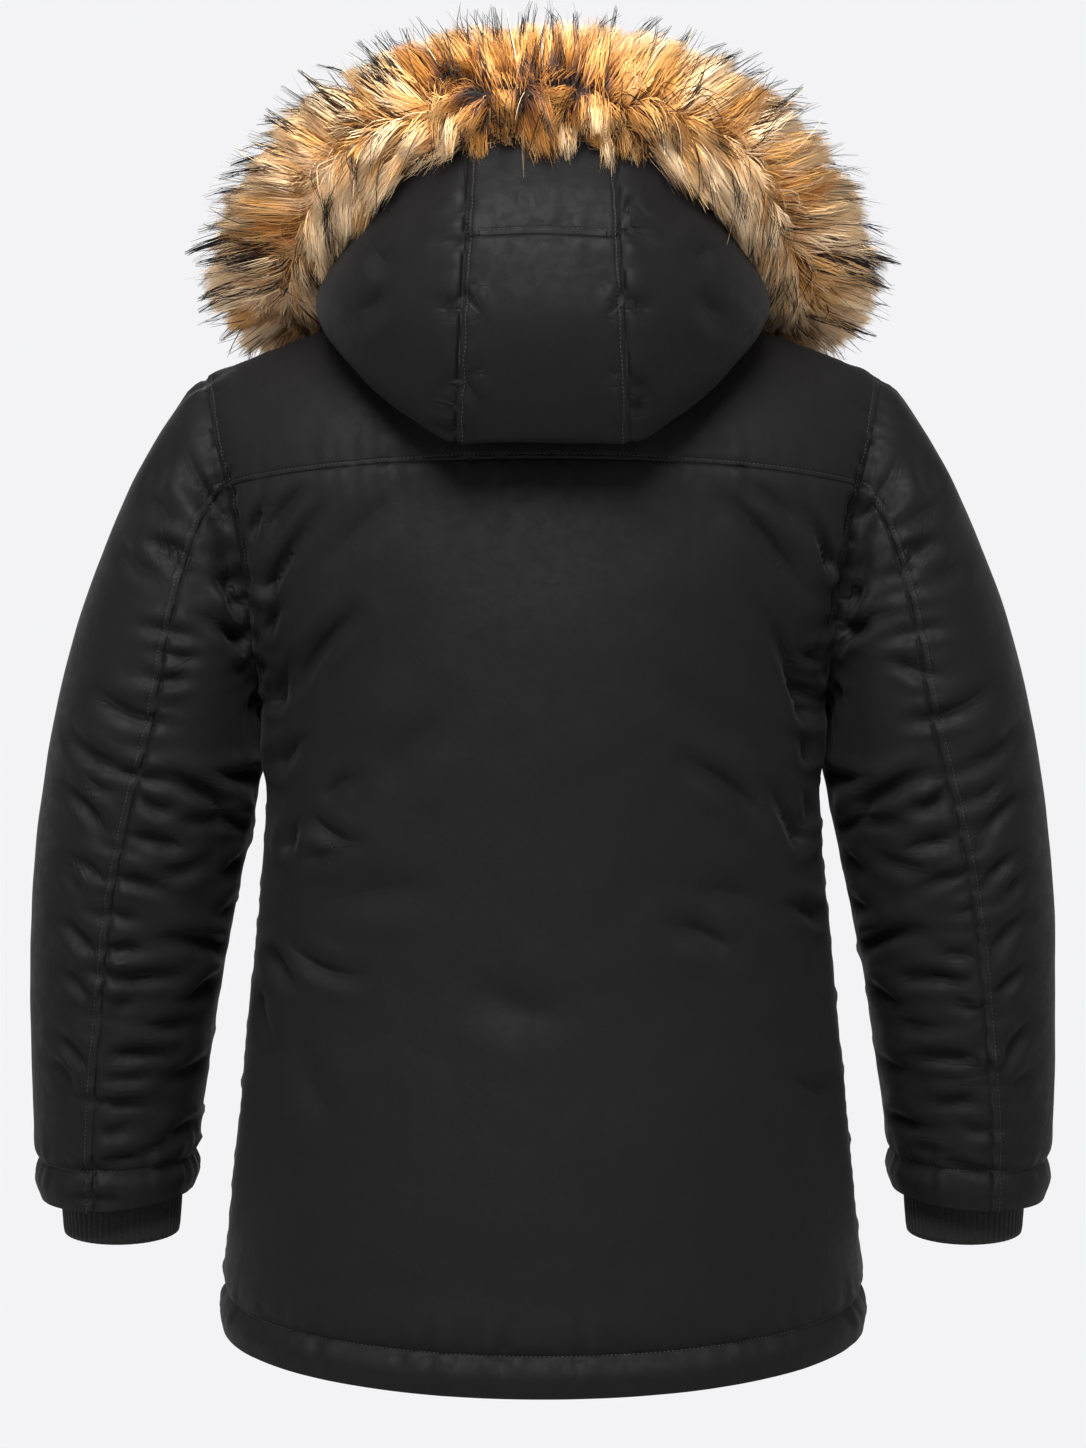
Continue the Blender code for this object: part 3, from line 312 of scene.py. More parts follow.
def bell(x):
    """1 at 0, and smoothly down to nothing on both sides."""
    return np.exp(-(x**2))


def lengths(vectors):
    return np.linalg.norm(vectors, axis=-1)


def units(vectors):
    return vectors / np.maximum(lengths(vectors)[..., None], 1e-12)


def run_of(line):
    """How far each point of a line lies along it."""
    return np.concatenate([[0], np.cumsum(lengths(np.diff(line, axis=0)))])


def between(at, places, points):
    """Points or vectors read between those that lie at certain places."""
    return np.column_stack([np.interp(at, places, column) for column in points.T])


def hermite(start, end, leave, arrive, t):
    """A curve from start to end that leaves along one vector and arrives along another."""
    straight = (2 * t**3 - 3 * t**2 + 1) * start + (3 * t**2 - 2 * t**3) * end
    return straight + (t**3 - 2 * t**2 + t) * leave + (t**3 - t**2) * arrive


def read(rows, at):
    """The row of a table that lies at a place between its own rows, on a smooth curve through them."""
    places, values = np.array([row[0] for row in rows], float), np.array([row[1:] for row in rows], float)
    slopes = np.gradient(values, places, axis=0)
    i = min(max(int(np.searchsorted(places, at)) - 1, 0), len(rows) - 2)
    span = places[i + 1] - places[i]
    leave, arrive = slopes[i : i + 2] * span
    return type(rows[0])(at, *hermite(values[i], values[i + 1], leave, arrive, (at - places[i]) / span))


def mirrored(grid):
    """The same grid of points on the other side of the coat, still facing outwards."""
    return grid[:, ::-1] * FLIP

# %% The body's net
def armhole_point(up, side):
    turn = (up - 1) * ARMHOLE_TURN_TO_YOKE
    tall = SHOULDER_TIP[2] - ARMPIT[2]
    z = (SHOULDER_TIP[2] + ARMPIT[2]) / 2 - tall / 2 * math.cos(turn)
    rise = max(z - ARMPIT[2], 0) / tall
    x = ARMPIT[0] + (SHOULDER_TIP[0] - ARMPIT[0]) * rise**ARMHOLE_LEAN
    return np.array([x, side * ARMHOLE_HALF_DEPTH * math.sin(turn), z])


def lower_point(across, up, side):
    row = read(LEVELS, up)
    middle_z, middle_y = (row.back_z, row.back_y) if side > 0 else (row.front_z, row.front_y)
    if up <= 1:
        _, end_z, end_x = read(SIDES, up)
        end_y, widest = 0.0, math.pi / 2
    else:
        end_x, end_y, end_z = armhole_point(up, side)
        widest = math.acos(abs(end_y / middle_y) ** (1 / OVAL_FLATNESS))
    if across >= 1:
        return np.array([end_x, end_y, end_z])
    end_cos = math.cos(widest) if up > 1 else 0.0
    angle = across * widest
    fullness = max(math.cos(angle), 0.0)
    share = (fullness - end_cos) / (1 - end_cos)
    x = end_x * math.sin(angle) / math.sin(widest)
    return np.array([x, middle_y * fullness**OVAL_FLATNESS, end_z + (middle_z - end_z) * share])


STRIP_TURN = math.asin(HOOD_STRIP_HALF / NECK_SIDE[0]) / (math.pi / 2)
NECK_TURNS = [STRIP_TURN * i / STRIP_STEPS for i in range(STRIP_STEPS)]
NECK_TURNS += list(np.linspace(STRIP_TURN, 1, NECK_STEPS - STRIP_STEPS + 1))
NECK_SHARE = 0.31
ACROSS = [turn * NECK_SHARE for turn in NECK_TURNS] + list(np.linspace(NECK_SHARE, 1, SHOULDER_STEPS + 1)[1:])


def top_point(across, side):
    """A point of the neckline or, further out, of the shoulder seam."""
    if across >= NECK_SHARE:
        return NECK_SIDE + (SHOULDER_TIP - NECK_SIDE) * (across - NECK_SHARE) / (1 - NECK_SHARE)
    turn = across / NECK_SHARE * math.pi / 2
    point = NECK_SIDE + ((NAPE if side > 0 else THROAT) - NECK_SIDE) * math.cos(turn)
    point[0] = NECK_SIDE[0] * math.sin(turn)
    return point


def body_point(across, up, side):
    """A point of the body, its yoke and shoulders: up is 3 at the neckline and the shoulder seam."""
    if up <= 2:
        return lower_point(across, up, side)
    end = top_point(across, side)
    if up >= 3:
        return end
    start, below = lower_point(across, 2, side), lower_point(across, 2 - 0.03, side)
    reach = lengths(end - start)
    to_side = smooth_step(across / NECK_SHARE)
    beyond = smooth_step((across - NECK_SHARE) / 0.25)
    arrive = np.array([-0.6 * to_side, -side * (0.55 + 0.35 * to_side), 0.85 - 0.60 * to_side])
    arrive = units(arrive + (np.array([0, -side, 0]) - arrive) * beyond) * reach
    return hermite(start, end, units(start - below) * reach, arrive, up - 2)


def front_point(across, up):
    point = body_point(across, up, -1)
    point[0] += ZIP_EDGE * max(1 - across / NECK_SHARE, 0) ** 2
    return point

# %% The sleeves' net
def oval_point(along, angle):
    row = read(OVALS, along)
    outer = np.array([row.outer_x, row.centre_y, row.outer_z])
    inner = np.array([row.inner_x, row.centre_y, row.inner_z])
    behind = np.array([0, row.half_depth, -row.back_drop])
    return (outer + inner) / 2 + (inner - outer) / 2 * math.cos(angle) + behind * math.sin(angle)


def turned_to_seam(along, angle, seam_angle):
    seam = math.radians(read(OVALS, along).seam_turn)
    if angle < seam_angle:
        return angle * seam / seam_angle
    if angle < math.pi:
        return seam + (angle - seam_angle) * (math.pi - seam) / (math.pi - seam_angle)
    return angle


def sleeve_net():
    ups = ARMHOLE_ROWS + YOKE_ROWS[1:]
    ring = [body_point(1, up, 1) for up in ups] + [front_point(1, up) for up in ups[:-1]][::-1]
    ring = np.array(ring)
    top, run = int(np.argmax(ring[:, 2])), run_of(ring)
    angles = np.interp(run, [0, run[top], run[-1]], [0, math.pi, 2 * math.pi])
    seam_angle = angles[SLEEVE_SEAM_BACK]
    rows = []
    for along in SLEEVE_ROWS:
        turned = [turned_to_seam(along, angle, seam_angle) for angle in angles]
        rows.append(np.array([oval_point(along, angle) for angle in turned]))
    away = ring - rows[0]
    return np.array([row + away * (1 - smooth_step(along / 0.35)) for row, along in zip(rows, SLEEVE_ROWS)])

# %% The hood's net and the line of the fur
def ruff_frame(turn):
    """The middle of the fur at a place along it, the ways away from the hood and round the fur."""
    row = read(RUFFS, turn)
    middle, away = np.array(row[1:4]), np.array(row[4:7])
    ahead = np.subtract(read(RUFFS, min(turn + 0.01, 1))[1:4], read(RUFFS, max(turn - 0.01, 0))[1:4])
    ahead = units(ahead * np.array([1, turn > 0, turn > 0]))
    away = units(away - ahead * (away @ ahead))
    return middle, away, np.cross(ahead, away), row.reach, row.half_thick


def hoop_point(along, column):
    """A point of a hoop, from the middle of the back by way of the side and the collar bone to the front."""
    row = read(HOOPS, along)
    side, bone, front = (np.array(row[i : i + 3]) for i in (3, 6, 9))
    seam = np.array([read(HOOD_STRIP, along).half_width, row.back_y - HOOD_STRIP_CROWN, row.back_z])
    if column <= STRIP_STEPS:
        share = column / STRIP_STEPS
        return np.array([seam[0] * share, row.back_y - HOOD_STRIP_CROWN * share**2, row.back_z])
    shift = HOOD_SIDE_SHIFT * smooth_step(along / 0.3)
    side_column, bone_column = NECK_STEPS + shift, HOOD_COLUMNS - STRIP_STEPS + shift / 2
    low = bell((along - HOOD_LOWEST) / 0.13)
    if column <= side_column:
        reach = side - seam
        leave = np.array([(1.9 - 0.5 * low) * reach[0], -0.15 * abs(reach[1]), (0.2 - 0.15 * low) * reach[2]])
        arrive = np.array([0, 1.5, 1.2 + 0.75 * low]) * reach
        return hermite(seam, side, leave, arrive, (column - STRIP_STEPS) / (side_column - STRIP_STEPS))
    passing = (front - side) * 0.5
    if column <= bone_column:
        leave = np.array([0, 1.1, 0.7]) * (bone - side)
        return hermite(side, bone, leave, passing, (column - side_column) / (bone_column - side_column))
    arrive = np.array([1.3, 0.5, 0.9]) * (front - bone)
    return hermite(bone, front, passing, arrive, (column - bone_column) / (HOOD_COLUMNS - bone_column))


def fur_edge_point(column):
    strip = 0.052  # how far along the fur one column of the hood's strip goes
    turn = column * strip
    if column > STRIP_STEPS:
        beyond = (column - STRIP_STEPS) / (HOOD_COLUMNS - STRIP_STEPS)
        turn = STRIP_STEPS * strip + (1 - STRIP_STEPS * strip) * beyond
    middle, away, _, reach, _ = ruff_frame(turn)
    return middle - away * reach


def hood_net():
    columns = range(HOOD_COLUMNS + 1)
    neck = [body_point(across, 3, 1) for across in ACROSS[: NECK_STEPS + 1]]
    neck = np.array(neck + [front_point(across, 3) for across in ACROSS[:NECK_STEPS]][::-1])
    fur = np.array([fur_edge_point(column) for column in columns])
    hoops = [np.array([hoop_point(along, column) for column in columns]) for along in HOOD_ROWS]
    rows = [neck]
    for along, hoop in zip(HOOD_ROWS[1:-1], hoops[1:-1]):
        leave, arrive = 1 - smooth_step(along / 0.3), smooth_step((along - 0.55) / 0.45)
        rows.append(hoop + (neck - hoops[0]) * leave + (fur - hoops[-1]) * arrive)
    grid, low, left = np.array(rows + [fur]), HOOD_EASED_ROW, STRIP_STEPS + 1
    for _ in range(HOOD_EASING):
        across = (grid[low:-1, left - 1 : -2] + grid[low:-1, left + 1 :]) / 2
        along = (grid[low - 1 : -2, left:-1] + grid[low + 1 :, left:-1]) / 2
        inside = grid[low:-1, left:-1]
        grid[low:-1, left:-1] = inside + (across + along - 2 * inside) / 4
    half = grid[:, ::-1]
    return np.concatenate([half, mirrored(half)[:, 1:]], axis=1)

# %% [markdown]
# A coarse net can't hold a crease. Each net is refined with cubic curves through its own points, to cells
# of about 4 mm. A crease is a few cells wide then, which is what makes it read as bent cloth and not as a
# painted line.

# %% Refine a net
CELL = 0.0038
ROW_PARTS = 8, 6  # fine steps in a span of the armhole and of the yoke


def cubic_weights(knots, steps):
    """The matrix that turns values at knots into values on a smooth curve, so many steps in each span."""
    one = np.eye(len(knots))
    slope = np.gradient(one, knots, axis=0)
    rows = []
    for i, parts in enumerate(steps):
        span = knots[i + 1] - knots[i]
        for t in np.linspace(0, 1, parts + 1)[(0 if i == 0 else 1) :]:
            rows.append(hermite(one[i], one[i + 1], slope[i] * span, slope[i + 1] * span, t))
    return np.array(rows)


def mean_spans(net, axis):
    return lengths(np.diff(net, axis=axis)).mean(axis=1 - axis)


def mean_knots(net, axis):
    return np.concatenate([[0], np.cumsum(mean_spans(net, axis))])


def refined(net, row_steps, column_steps, closed=False):
    """The net at its fine size. A closed net runs on round its first column, as a sleeve does."""
    rows = cubic_weights(mean_knots(net, 0), row_steps)
    if closed:
        net = np.concatenate([net[:, -3:-1], net, net[:, 1:3]], axis=1)
        column_steps = [1, 1] + list(column_steps) + [1, 1]
    columns = cubic_weights(mean_knots(net, 1), column_steps)
    fine = np.einsum("ri,ijk,cj->rck", rows, net, columns)
    return fine[:, 2:-2] if closed else fine


def even_steps(net, axis):
    """An even number of steps in each span, so that the inside can take every second line."""
    return [max(2, 2 * round(length / CELL / 2)) for length in mean_spans(net, axis)]


def at_line(steps, coarse):
    """The fine line on which a coarse line lies."""
    return sum(steps[:coarse])


def facings(grid):
    """The way each point of a grid faces."""
    area = np.cross(grid[1:, 1:] - grid[:-1, :-1], grid[1:, :-1] - grid[:-1, 1:])
    total = np.zeros(grid.shape)
    for a in (slice(0, -1), slice(1, None)):
        for b in (slice(0, -1), slice(1, None)):
            total[a, b] += area
    return total


def share_facings(grids):
    """Facings averaged over all the grids at points that they share, so that seams agree."""
    total = [facings(grid) for grid in grids]
    found = {}
    for g, grid in enumerate(grids):
        edge = np.zeros(grid.shape[:2], bool)
        edge[0] = edge[-1] = edge[:, 0] = edge[:, -1] = True
        for i, j in zip(*np.nonzero(edge)):
            found.setdefault(tuple(np.round(grid[i, j], 5) + 0.0), []).append((g, i, j))
    for places in found.values():
        mean = sum(total[g][i, j] for g, i, j in places)
        for g, i, j in places:
            total[g][i, j] = mean
    return [units(t) for t in total]

# %% The fine nets
body_ups = BODY_ROWS + ARMHOLE_ROWS[1:] + YOKE_ROWS[1:]
back_half = np.array([[body_point(s, up, 1) for s in ACROSS[::-1]] for up in body_ups])
back_net = np.concatenate([back_half, mirrored(back_half)[:, 1:]], axis=1)
front_net = np.array([[front_point(s, up) for s in ACROSS] for up in body_ups])
sleeve_coarse, hood_coarse = sleeve_net(), hood_net()

body_steps = even_steps(back_net, 0)[: len(BODY_ROWS) - 1]
body_steps += [ROW_PARTS[0]] * (len(ARMHOLE_ROWS) - 1) + [ROW_PARTS[1]] * (len(YOKE_ROWS) - 1)
half_steps = even_steps(front_net, 1)
back_fine = refined(back_net, body_steps, half_steps[::-1] + half_steps)
front_fine = refined(front_net, body_steps, half_steps)
ring_steps = body_steps[len(BODY_ROWS) - 1 :]
ring_steps = ring_steps + ring_steps[::-1]
sleeve_steps = even_steps(sleeve_coarse, 0)
sleeve_fine = refined(sleeve_coarse, sleeve_steps, ring_steps, closed=True)
hood_steps, hood_column_steps = even_steps(hood_coarse, 0), even_steps(hood_coarse, 1)
hood_fine = refined(hood_coarse, hood_steps, hood_column_steps)

# Wadding sags into the hood's low corners.
LOBE_X, LOBE_Z, LOBE_SIZE, LOBE_FULL = 0.100, -0.088, 0.032, 0.0055
hood_ways = units(facings(hood_fine))
lobe = np.exp(-((np.abs(hood_fine[..., 0]) - LOBE_X) ** 2 + (hood_fine[..., 2] - LOBE_Z) ** 2) / LOBE_SIZE**2)
hood_fine = hood_fine + hood_ways * (LOBE_FULL * lobe * np.clip(-hood_ways[..., 2], 0, 1))[..., None]

# The sleeve's top ring takes the body's own armhole points, and its first rows ease to them.
RING_EASE_ROWS = 14
armpit_line = at_line(body_steps, len(BODY_ROWS) - 1)
ring = np.concatenate([back_fine[armpit_line:, 0], front_fine[armpit_line:-1, -1][::-1]])
ease = smooth_step(np.arange(len(sleeve_fine)) / RING_EASE_ROWS)[:, None, None]
sleeve_fine = sleeve_fine + (ring - sleeve_fine[0]) * (1 - ease)
print("nets:", back_fine.shape[:2], front_fine.shape[:2], sleeve_fine.shape[:2], hood_fine.shape[:2])

# %% [markdown]
# Creases are placed one by one. Each is a soft trough with a low ridge on both sides, because the wadding
# that is pushed out of the trough has to go somewhere. It runs between two places, given in millimetres as
# seen straight from behind or in front, and bows a little. Where cloth gathers into a seam or under the arm
# it is deepest there.

# %% The creases
CREASE = "Crease", "x z end_x end_z width depth bow deep"  # deepest: -1 at the start, 1 at the end, 0 midway
BACK_CREASES = table(
    *CREASE,
    (198, -154, 207, -180, 7, 3.0, 2, 0), (146, -148, 194, -211, 9, 3.4, 3, 1),
    (169, -142, 196, -178, 9, 1.6, 2, 0), (180, -215, 196, -241, 8, 3.0, 2, 1),
    (133, -232, 180, -291, 11, 2.6, 5, 0), (173, -251, 189, -293, 8, 2.8, 3, 1),
    (161, -317, 186, -336, 10, 2.2, 3, 1), (133, -346, 154, -364, 10, 1.6, 3, 0),
    (131, -392, 162, -375, 10, 2.0, -4, 0), (168, -373, 182, -397, 8, 2.4, 2, 1),
    (141, -401, 169, -406, 9, 1.6, 2, 0), (86, -424, 155, -436, 18, 1.0, 4, 0),
    (127, -485, 179, -467, 10, 1.7, -6, 0), (166, -498, 191, -475, 9, 2.2, -3, 1),
    (108, -154, 154, -202, 16, 1.2, 3, 0), (72, -304, 113, -355, 24, 1.2, 4, 0),
    (169, -529, 148, -585, 18, 1.4, 6, 0), (204, -508, 179, -543, 12, 1.6, 5, -1),
    (-184, -155, -205, -197, 8, 3.6, -3, 1), (-134, -154, -187, -218, 12, 2.4, -3, 0),
    (-146, -141, -179, -169, 10, 1.4, -2, 0), (-139, -209, -187, -300, 10, 3.4, -6, 1),
    (-179, -255, -194, -259, 7, 2.2, 2, 1), (-181, -278, -190, -286, 7, 2.0, 2, 1),
    (-83, -276, -141, -329, 22, 1.2, -4, 0), (-102, -335, -155, -374, 12, 2.2, -4, 0),
    (-147, -342, -183, -390, 10, 3.2, -4, 1), (-109, -426, -155, -436, 18, 1.4, -3, 0),
    (-162, -438, -196, -445, 9, 2.4, -3, 1), (-92, -449, -132, -468, 14, 1.8, -3, 0),
    (-180, -312, -188, -332, 7, 2.2, -2, 1), (-181, -355, -190, -375, 7, 2.2, -2, 1),
    (-165, -543, -199, -571, 13, 1.4, 5, 1), (44, -487, -12, -508, 26, 1.2, 8, 0),
)
FRONT_CREASES = table(
    *CREASE,
    (190, -170, 208, -205, 10, 3.0, 4, 1), (120, -215, 180, -300, 15, 2.6, 8, 0),
    (90, -330, 185, -395, 18, 2.2, -8, 1), (198, -430, 150, -470, 14, 2.0, 5, -1),
    (60, -250, 40, -330, 24, 1.4, 8, 0), (150, -540, 120, -600, 20, 1.6, 6, 0),
    (-188, -160, -206, -198, 10, 3.0, -4, 1), (-110, -225, -182, -308, 16, 2.6, -8, 0),
    (-150, -350, -192, -380, 13, 2.4, 5, 1), (-80, -420, -140, -480, 20, 1.8, 7, 0),
    (-200, -500, -165, -545, 13, 1.8, -5, -1),
)
SLEEVE_CREASES = table(
    *CREASE,
    (257, -107, 228, -158, 12, 5.6, 3, 1), (274, -113, 281, -149, 12, 1.6, 3, 0),
    (286, -146, 265, -165, 9, 1.6, -3, 0), (281, -178, 249, -194, 8, 3.2, -4, 0),
    (279, -183, 254, -203, 7, 2.2, -3, 0), (300, -181, 279, -200, 9, 2.0, 3, 0),
    (237, -186, 214, -222, 10, 5.2, -4, 1), (244, -198, 215, -226, 6, 2.6, -3, 1),
    (254, -230, 212, -251, 8, 2.6, -4, 1), (227, -232, 209, -247, 9, 4.4, 2, 1),
    (272, -257, 244, -261, 7, 1.6, 2, 0), (279, -279, 254, -273, 7, 1.6, 2, 0),
    (318, -284, 265, -306, 9, 2.8, 6, 0), (339, -312, 303, -338, 9, 2.8, 4, 0),
    (287, -341, 229, -364, 9, 4.2, -5, 1), (243, -339, 212, -345, 8, 3.6, 3, 1),
    (325, -346, 307, -357, 7, 2.0, 2, 0), (343, -353, 313, -384, 8, 2.8, -4, 0),
    (286, -360, 264, -370, 7, 2.4, 2, 0), (267, -384, 222, -377, 8, 3.4, -5, 1),
    (292, -390, 257, -399, 8, 2.8, -4, 0), (272, -413, 243, -406, 8, 2.0, 3, 0),
    (304, -418, 268, -429, 8, 2.4, -3, 0), (340, -402, 314, -421, 8, 2.6, -3, 0),
    (344, -409, 329, -432, 8, 1.8, -3, 0), (309, -438, 293, -444, 7, 1.6, 2, 0),
    (236, -418, 222, -409, 7, 2.6, 2, 1), (244, -449, 222, -437, 8, 2.8, 3, 1),
    (346, -448, 321, -475, 8, 2.4, -3, 0), (285, -467, 233, -469, 9, 3.2, -6, 1),
    (312, -472, 286, -470, 7, 2.0, -3, 0), (305, -493, 257, -491, 8, 2.6, -4, 0),
    (346, -487, 324, -506, 8, 2.4, -3, 0), (271, -511, 242, -497, 9, 3.0, 3, 1),
    (315, -508, 292, -505, 7, 1.8, 2, 0), (286, -526, 250, -520, 8, 2.0, 2, 0),
    (350, -533, 328, -560, 8, 2.6, -3, 0), (311, -548, 266, -547, 8, 3.0, -4, 0),
    (281, -564, 246, -554, 9, 2.7, 3, 1), (318, -562, 283, -561, 7, 1.6, 2, 0),
    (354, -551, 339, -574, 8, 1.8, -3, 0), (315, -583, 279, -584, 8, 2.4, -3, 0),
    (292, -608, 257, -600, 8, 1.9, 3, 1), (306, -618, 277, -615, 7, 1.5, 2, 1),
    (322, -602, 300, -598, 7, 1.6, 2, 0), (322, -625, 289, -622, 6, 2.2, -2, 0),
)
HOOD_CREASES = table(
    *CREASE,
    (74, 39, 54, 46, 7, 1.5, 2, 1), (78, 16, 54, 20, 7, 1.6, -2, 1), (78, -27, 55, -19, 7, 2.4, 3, 1),
    (75, -75, 57, -74, 6, 1.8, 2, 1), (80, -85, 59, -94, 6, 1.5, -2, 1), (78, -103, 60, -109, 5, 1.4, 2, 1),
    (-78, 39, -59, 47, 7, 1.5, -2, 1), (-80, 17, -58, 26, 7, 1.7, 2, 1), (-79, -27, -58, -19, 7, 2.2, -3, 1),
    (-76, -77, -61, -75, 6, 1.8, -2, 1), (-80, -84, -62, -95, 6, 1.5, 2, 1), (37, -7, 50, -15, 6, 1.2, 1, 1),
    (38, -33, 50, -22, 6, 1.3, -1, 1), (36, -67, 51, -73, 6, 1.2, 1, 1), (40, -92, 51, -79, 6, 1.1, -1, 1),
    (-40, -6, -51, -18, 6, 1.2, -1, 1), (-41, -33, -52, -24, 6, 1.3, 1, 1),
    (-41, -68, -52, -75, 6, 1.2, -1, 1), (118, 22, 103, 8, 12, 1.2, 3, 0),
    (112, -8, 128, -24, 12, 1.3, -4, 0), (-120, 20, -104, 6, 12, 1.2, 3, 0),
    (-112, -10, -126, -28, 12, 1.3, 4, 0),
)
CREASE_SCALE, CREASE_WIDTH, SLEEVE_LAP, BODY_LAP = 2.7, 0.8, 0.9, 0.35
TROUGH_SHARE, CORE_SHARE, CORE_WIDTH = 0.62, 0.38, 0.45  # a wide soft trough with a narrower core
RIDGE_SHARE, RIDGE_AT, RIDGE_WIDTH = 0.30, 1.75, 0.85
# A crease's drawn line is a groove of bump in the material, also painted darker as painted shade.
FOLD_FAR, FOLD_NEAR, FOLD_END, FOLD_WIDTH = 0.02, 0.009, 0.0035, 0.0055  # a crease's drawn line, in metres
DRAWN_DEPTH, DRAWN_WIDTH, DRAWN_FADE = 3.2, 19, 8  # deep narrow creases get a full line, wide ones none
SHOWN_EDGE, SHOWN_SPAN, PATH_PARTS = 0.03, 0.5, 32


def varied(creases, seed, side=1, shift=7.0):
    """The same creases a little elsewhere and of another depth, for another side of the coat."""
    chance = np.random.default_rng(seed)
    result = []
    for crease in creases:
        dx, dz, ex, ez = chance.normal(0, shift, 4) * (0.4, 1, 0.4, 1)
        places = {"x": side * (crease.x + dx), "z": crease.z + dz, "end_x": side * (crease.end_x + ex)}
        places["end_z"] = crease.end_z + 0.6 * dz + 0.4 * ez
        depth = crease.depth * chance.uniform(0.65, 1.2)
        result.append(crease._replace(depth=depth, bow=side * crease.bow, **places))
    return result


def deeper(creases, depth, width):
    return [crease._replace(depth=crease.depth * depth, width=crease.width * width) for crease in creases]


def crease_relief(points, normals, creases, face, lap_share):
    """How far each point is moved along its facing by the creases that show on one face of the coat.
    Also how far it lies to one side of the nearest crease's own line, and how strong that crease is there."""
    total, fold, force = np.zeros(len(points)), np.full(len(points), FOLD_FAR), np.zeros(len(points))
    spots = points[:, [0, 2]]
    shown = smooth_step((normals[:, 1] * face + SHOWN_EDGE) / SHOWN_SPAN)
    for crease in creases:
        start, end = np.array([crease.x, crease.z]) / 1000, np.array([crease.end_x, crease.end_z]) / 1000
        line = end - start
        across = np.array([-line[1], line[0]]) / lengths(line) * crease.bow / 1000
        width, middle = CREASE_WIDTH * crease.width / 1000, (start + end) / 2
        near = lengths(spots - middle) < lengths(line) / 2 + 4 * width
        near = np.nonzero(near & (shown > 0))[0]
        if not len(near):
            continue
        t = np.linspace(0, 1, PATH_PARTS + 1)[:, None]
        path = start + line * t + across * 4 * t * (1 - t)
        ahead = units(np.gradient(path, axis=0)) * np.sign(line[0] + 1e-9)
        gap = lengths(spots[near][:, None] - path[None])
        nearest = gap.argmin(axis=1)
        distance, place = gap[np.arange(len(near)), nearest] / width, nearest / PATH_PARTS
        beside, way = spots[near] - path[nearest], ahead[nearest]
        above = way[:, 0] * beside[:, 1] - way[:, 1] * beside[:, 0]
        if crease.deep == 0:
            strength = np.sin(np.pi * np.clip(place * 0.9 + 0.05, 0, 1)) ** 0.8
        else:
            place = place if crease.deep > 0 else 1 - place
            strength = np.clip(place / 0.75, 0, 1) ** 1.3
        trough = TROUGH_SHARE * bell(distance) + CORE_SHARE * bell(distance / CORE_WIDTH)
        ridge = bell((distance - RIDGE_AT) / RIDGE_WIDTH)
        lap = above / width * bell(above / width) * bell((distance * width - np.abs(above)) / width)
        shape = (1 - 0.4 * min(lap_share, 1)) * trough - RIDGE_SHARE * ridge - lap_share * lap
        total[near] -= CREASE_SCALE * crease.depth / 1000 * strength * shown[near] * shape
        closer = (np.abs(above) < np.abs(fold[near])) & (distance * width < FOLD_NEAR)
        fold[near[closer]] = above[closer]
        past_end = bell((way * beside).sum(1) / FOLD_END)
        narrow = min(max((DRAWN_WIDTH - crease.width) / DRAWN_FADE, 0), 1)
        narrow = min(crease.depth / DRAWN_DEPTH, 1) * narrow * bell(above / FOLD_WIDTH)
        force[near[closer]] = (strength * shown[near] * past_end * narrow)[closer]
    return total, fold, force

# %% [markdown]
# A seam pulls the wadding flat and gathers the cloth beside it into small puckers that cross it. The
# puckers come from smooth noise along the seam that fades away from it. The distance to the seam and to its
# row of stitches is kept on the mesh as well, so that the material can draw the narrow grooves that are
# finer than a cell, as bump and as painted shade.

# %% Seams
# held: other relief fades out at this seam. cleft: how deep it sinks near the armpit, where cloth is crowded.
Seam = namedtuple("Seam", "line pucker dip held seed cleft", defaults=(0.0,))
SEAM_STEP, SEAM_HALF, CLEFT_HALF, ARMHOLE_CLEFT = 0.0015, 0.0034, 0.009, 0.012
CLEFT_TOP, CLEFT_TOP_FADE, CLEFT_LOW, CLEFT_LOW_FADE, CLEFT_LEAST = -0.100, 0.07, -0.270, 0.06, 0.25
PUCKER_SCALE, PUCKER_PITCH, PUCKER_REACH, PUCKER_UNEVEN = 2.3, 0.0105, 0.017, 0.011
UNEVEN_PITCH, PUCKER_START, PUCKER_GAIN = 0.034, 0.003, 1.7
SWELL_DEPTH, SWELL_SIZE, SWELL_SEED = 0.0007, 0.06, 4


def seam_distances(points, line):
    """For each point, how far the seam is and how far along it the nearest place lies, in metres."""
    run = run_of(line)
    fine_run = np.arange(0, run[-1], SEAM_STEP)
    dense = between(fine_run, run, line)
    tree = kdtree.KDTree(len(dense))
    for i, point in enumerate(dense):
        tree.insert(point, i)
    tree.balance()
    found = [tree.find(point) for point in points]
    return np.array([f[2] for f in found]), fine_run[[f[1] for f in found]]


def pucker_relief(distance, run, depth, seed):
    """Small gathers that cross a seam, uneven in length and spacing."""
    rise = np.array([noise.noise((r / PUCKER_PITCH, seed, 0.0)) for r in run])
    uneven = np.array([noise.noise((r / UNEVEN_PITCH, seed, 5.0)) for r in run])
    fade = bell(distance / (PUCKER_REACH + PUCKER_UNEVEN * uneven))
    fade = fade * np.clip(distance / PUCKER_START, 0.15, 1)
    return PUCKER_SCALE * depth * rise * PUCKER_GAIN * fade


def soft_swell(points, depth, size, seed):
    """The slow uneven swelling of wadding under cloth."""
    shift = Vector((seed * 7.3, seed * 3.1, seed * 5.7))
    return depth * np.array([noise.fractal(Vector(p) / size + shift, 0.6, 2.0, 2) for p in points])


Bulge = namedtuple("Bulge", "y z wide tall high")  # wadding that is squeezed out where arm and body meet
BODY_BULGE = (1, Bulge(0.045, -0.322, 0.022, 0.028, 0.0060))
SLEEVE_BULGE = (-1, Bulge(-0.020, -0.322, 0.018, 0.028, 0.0032))


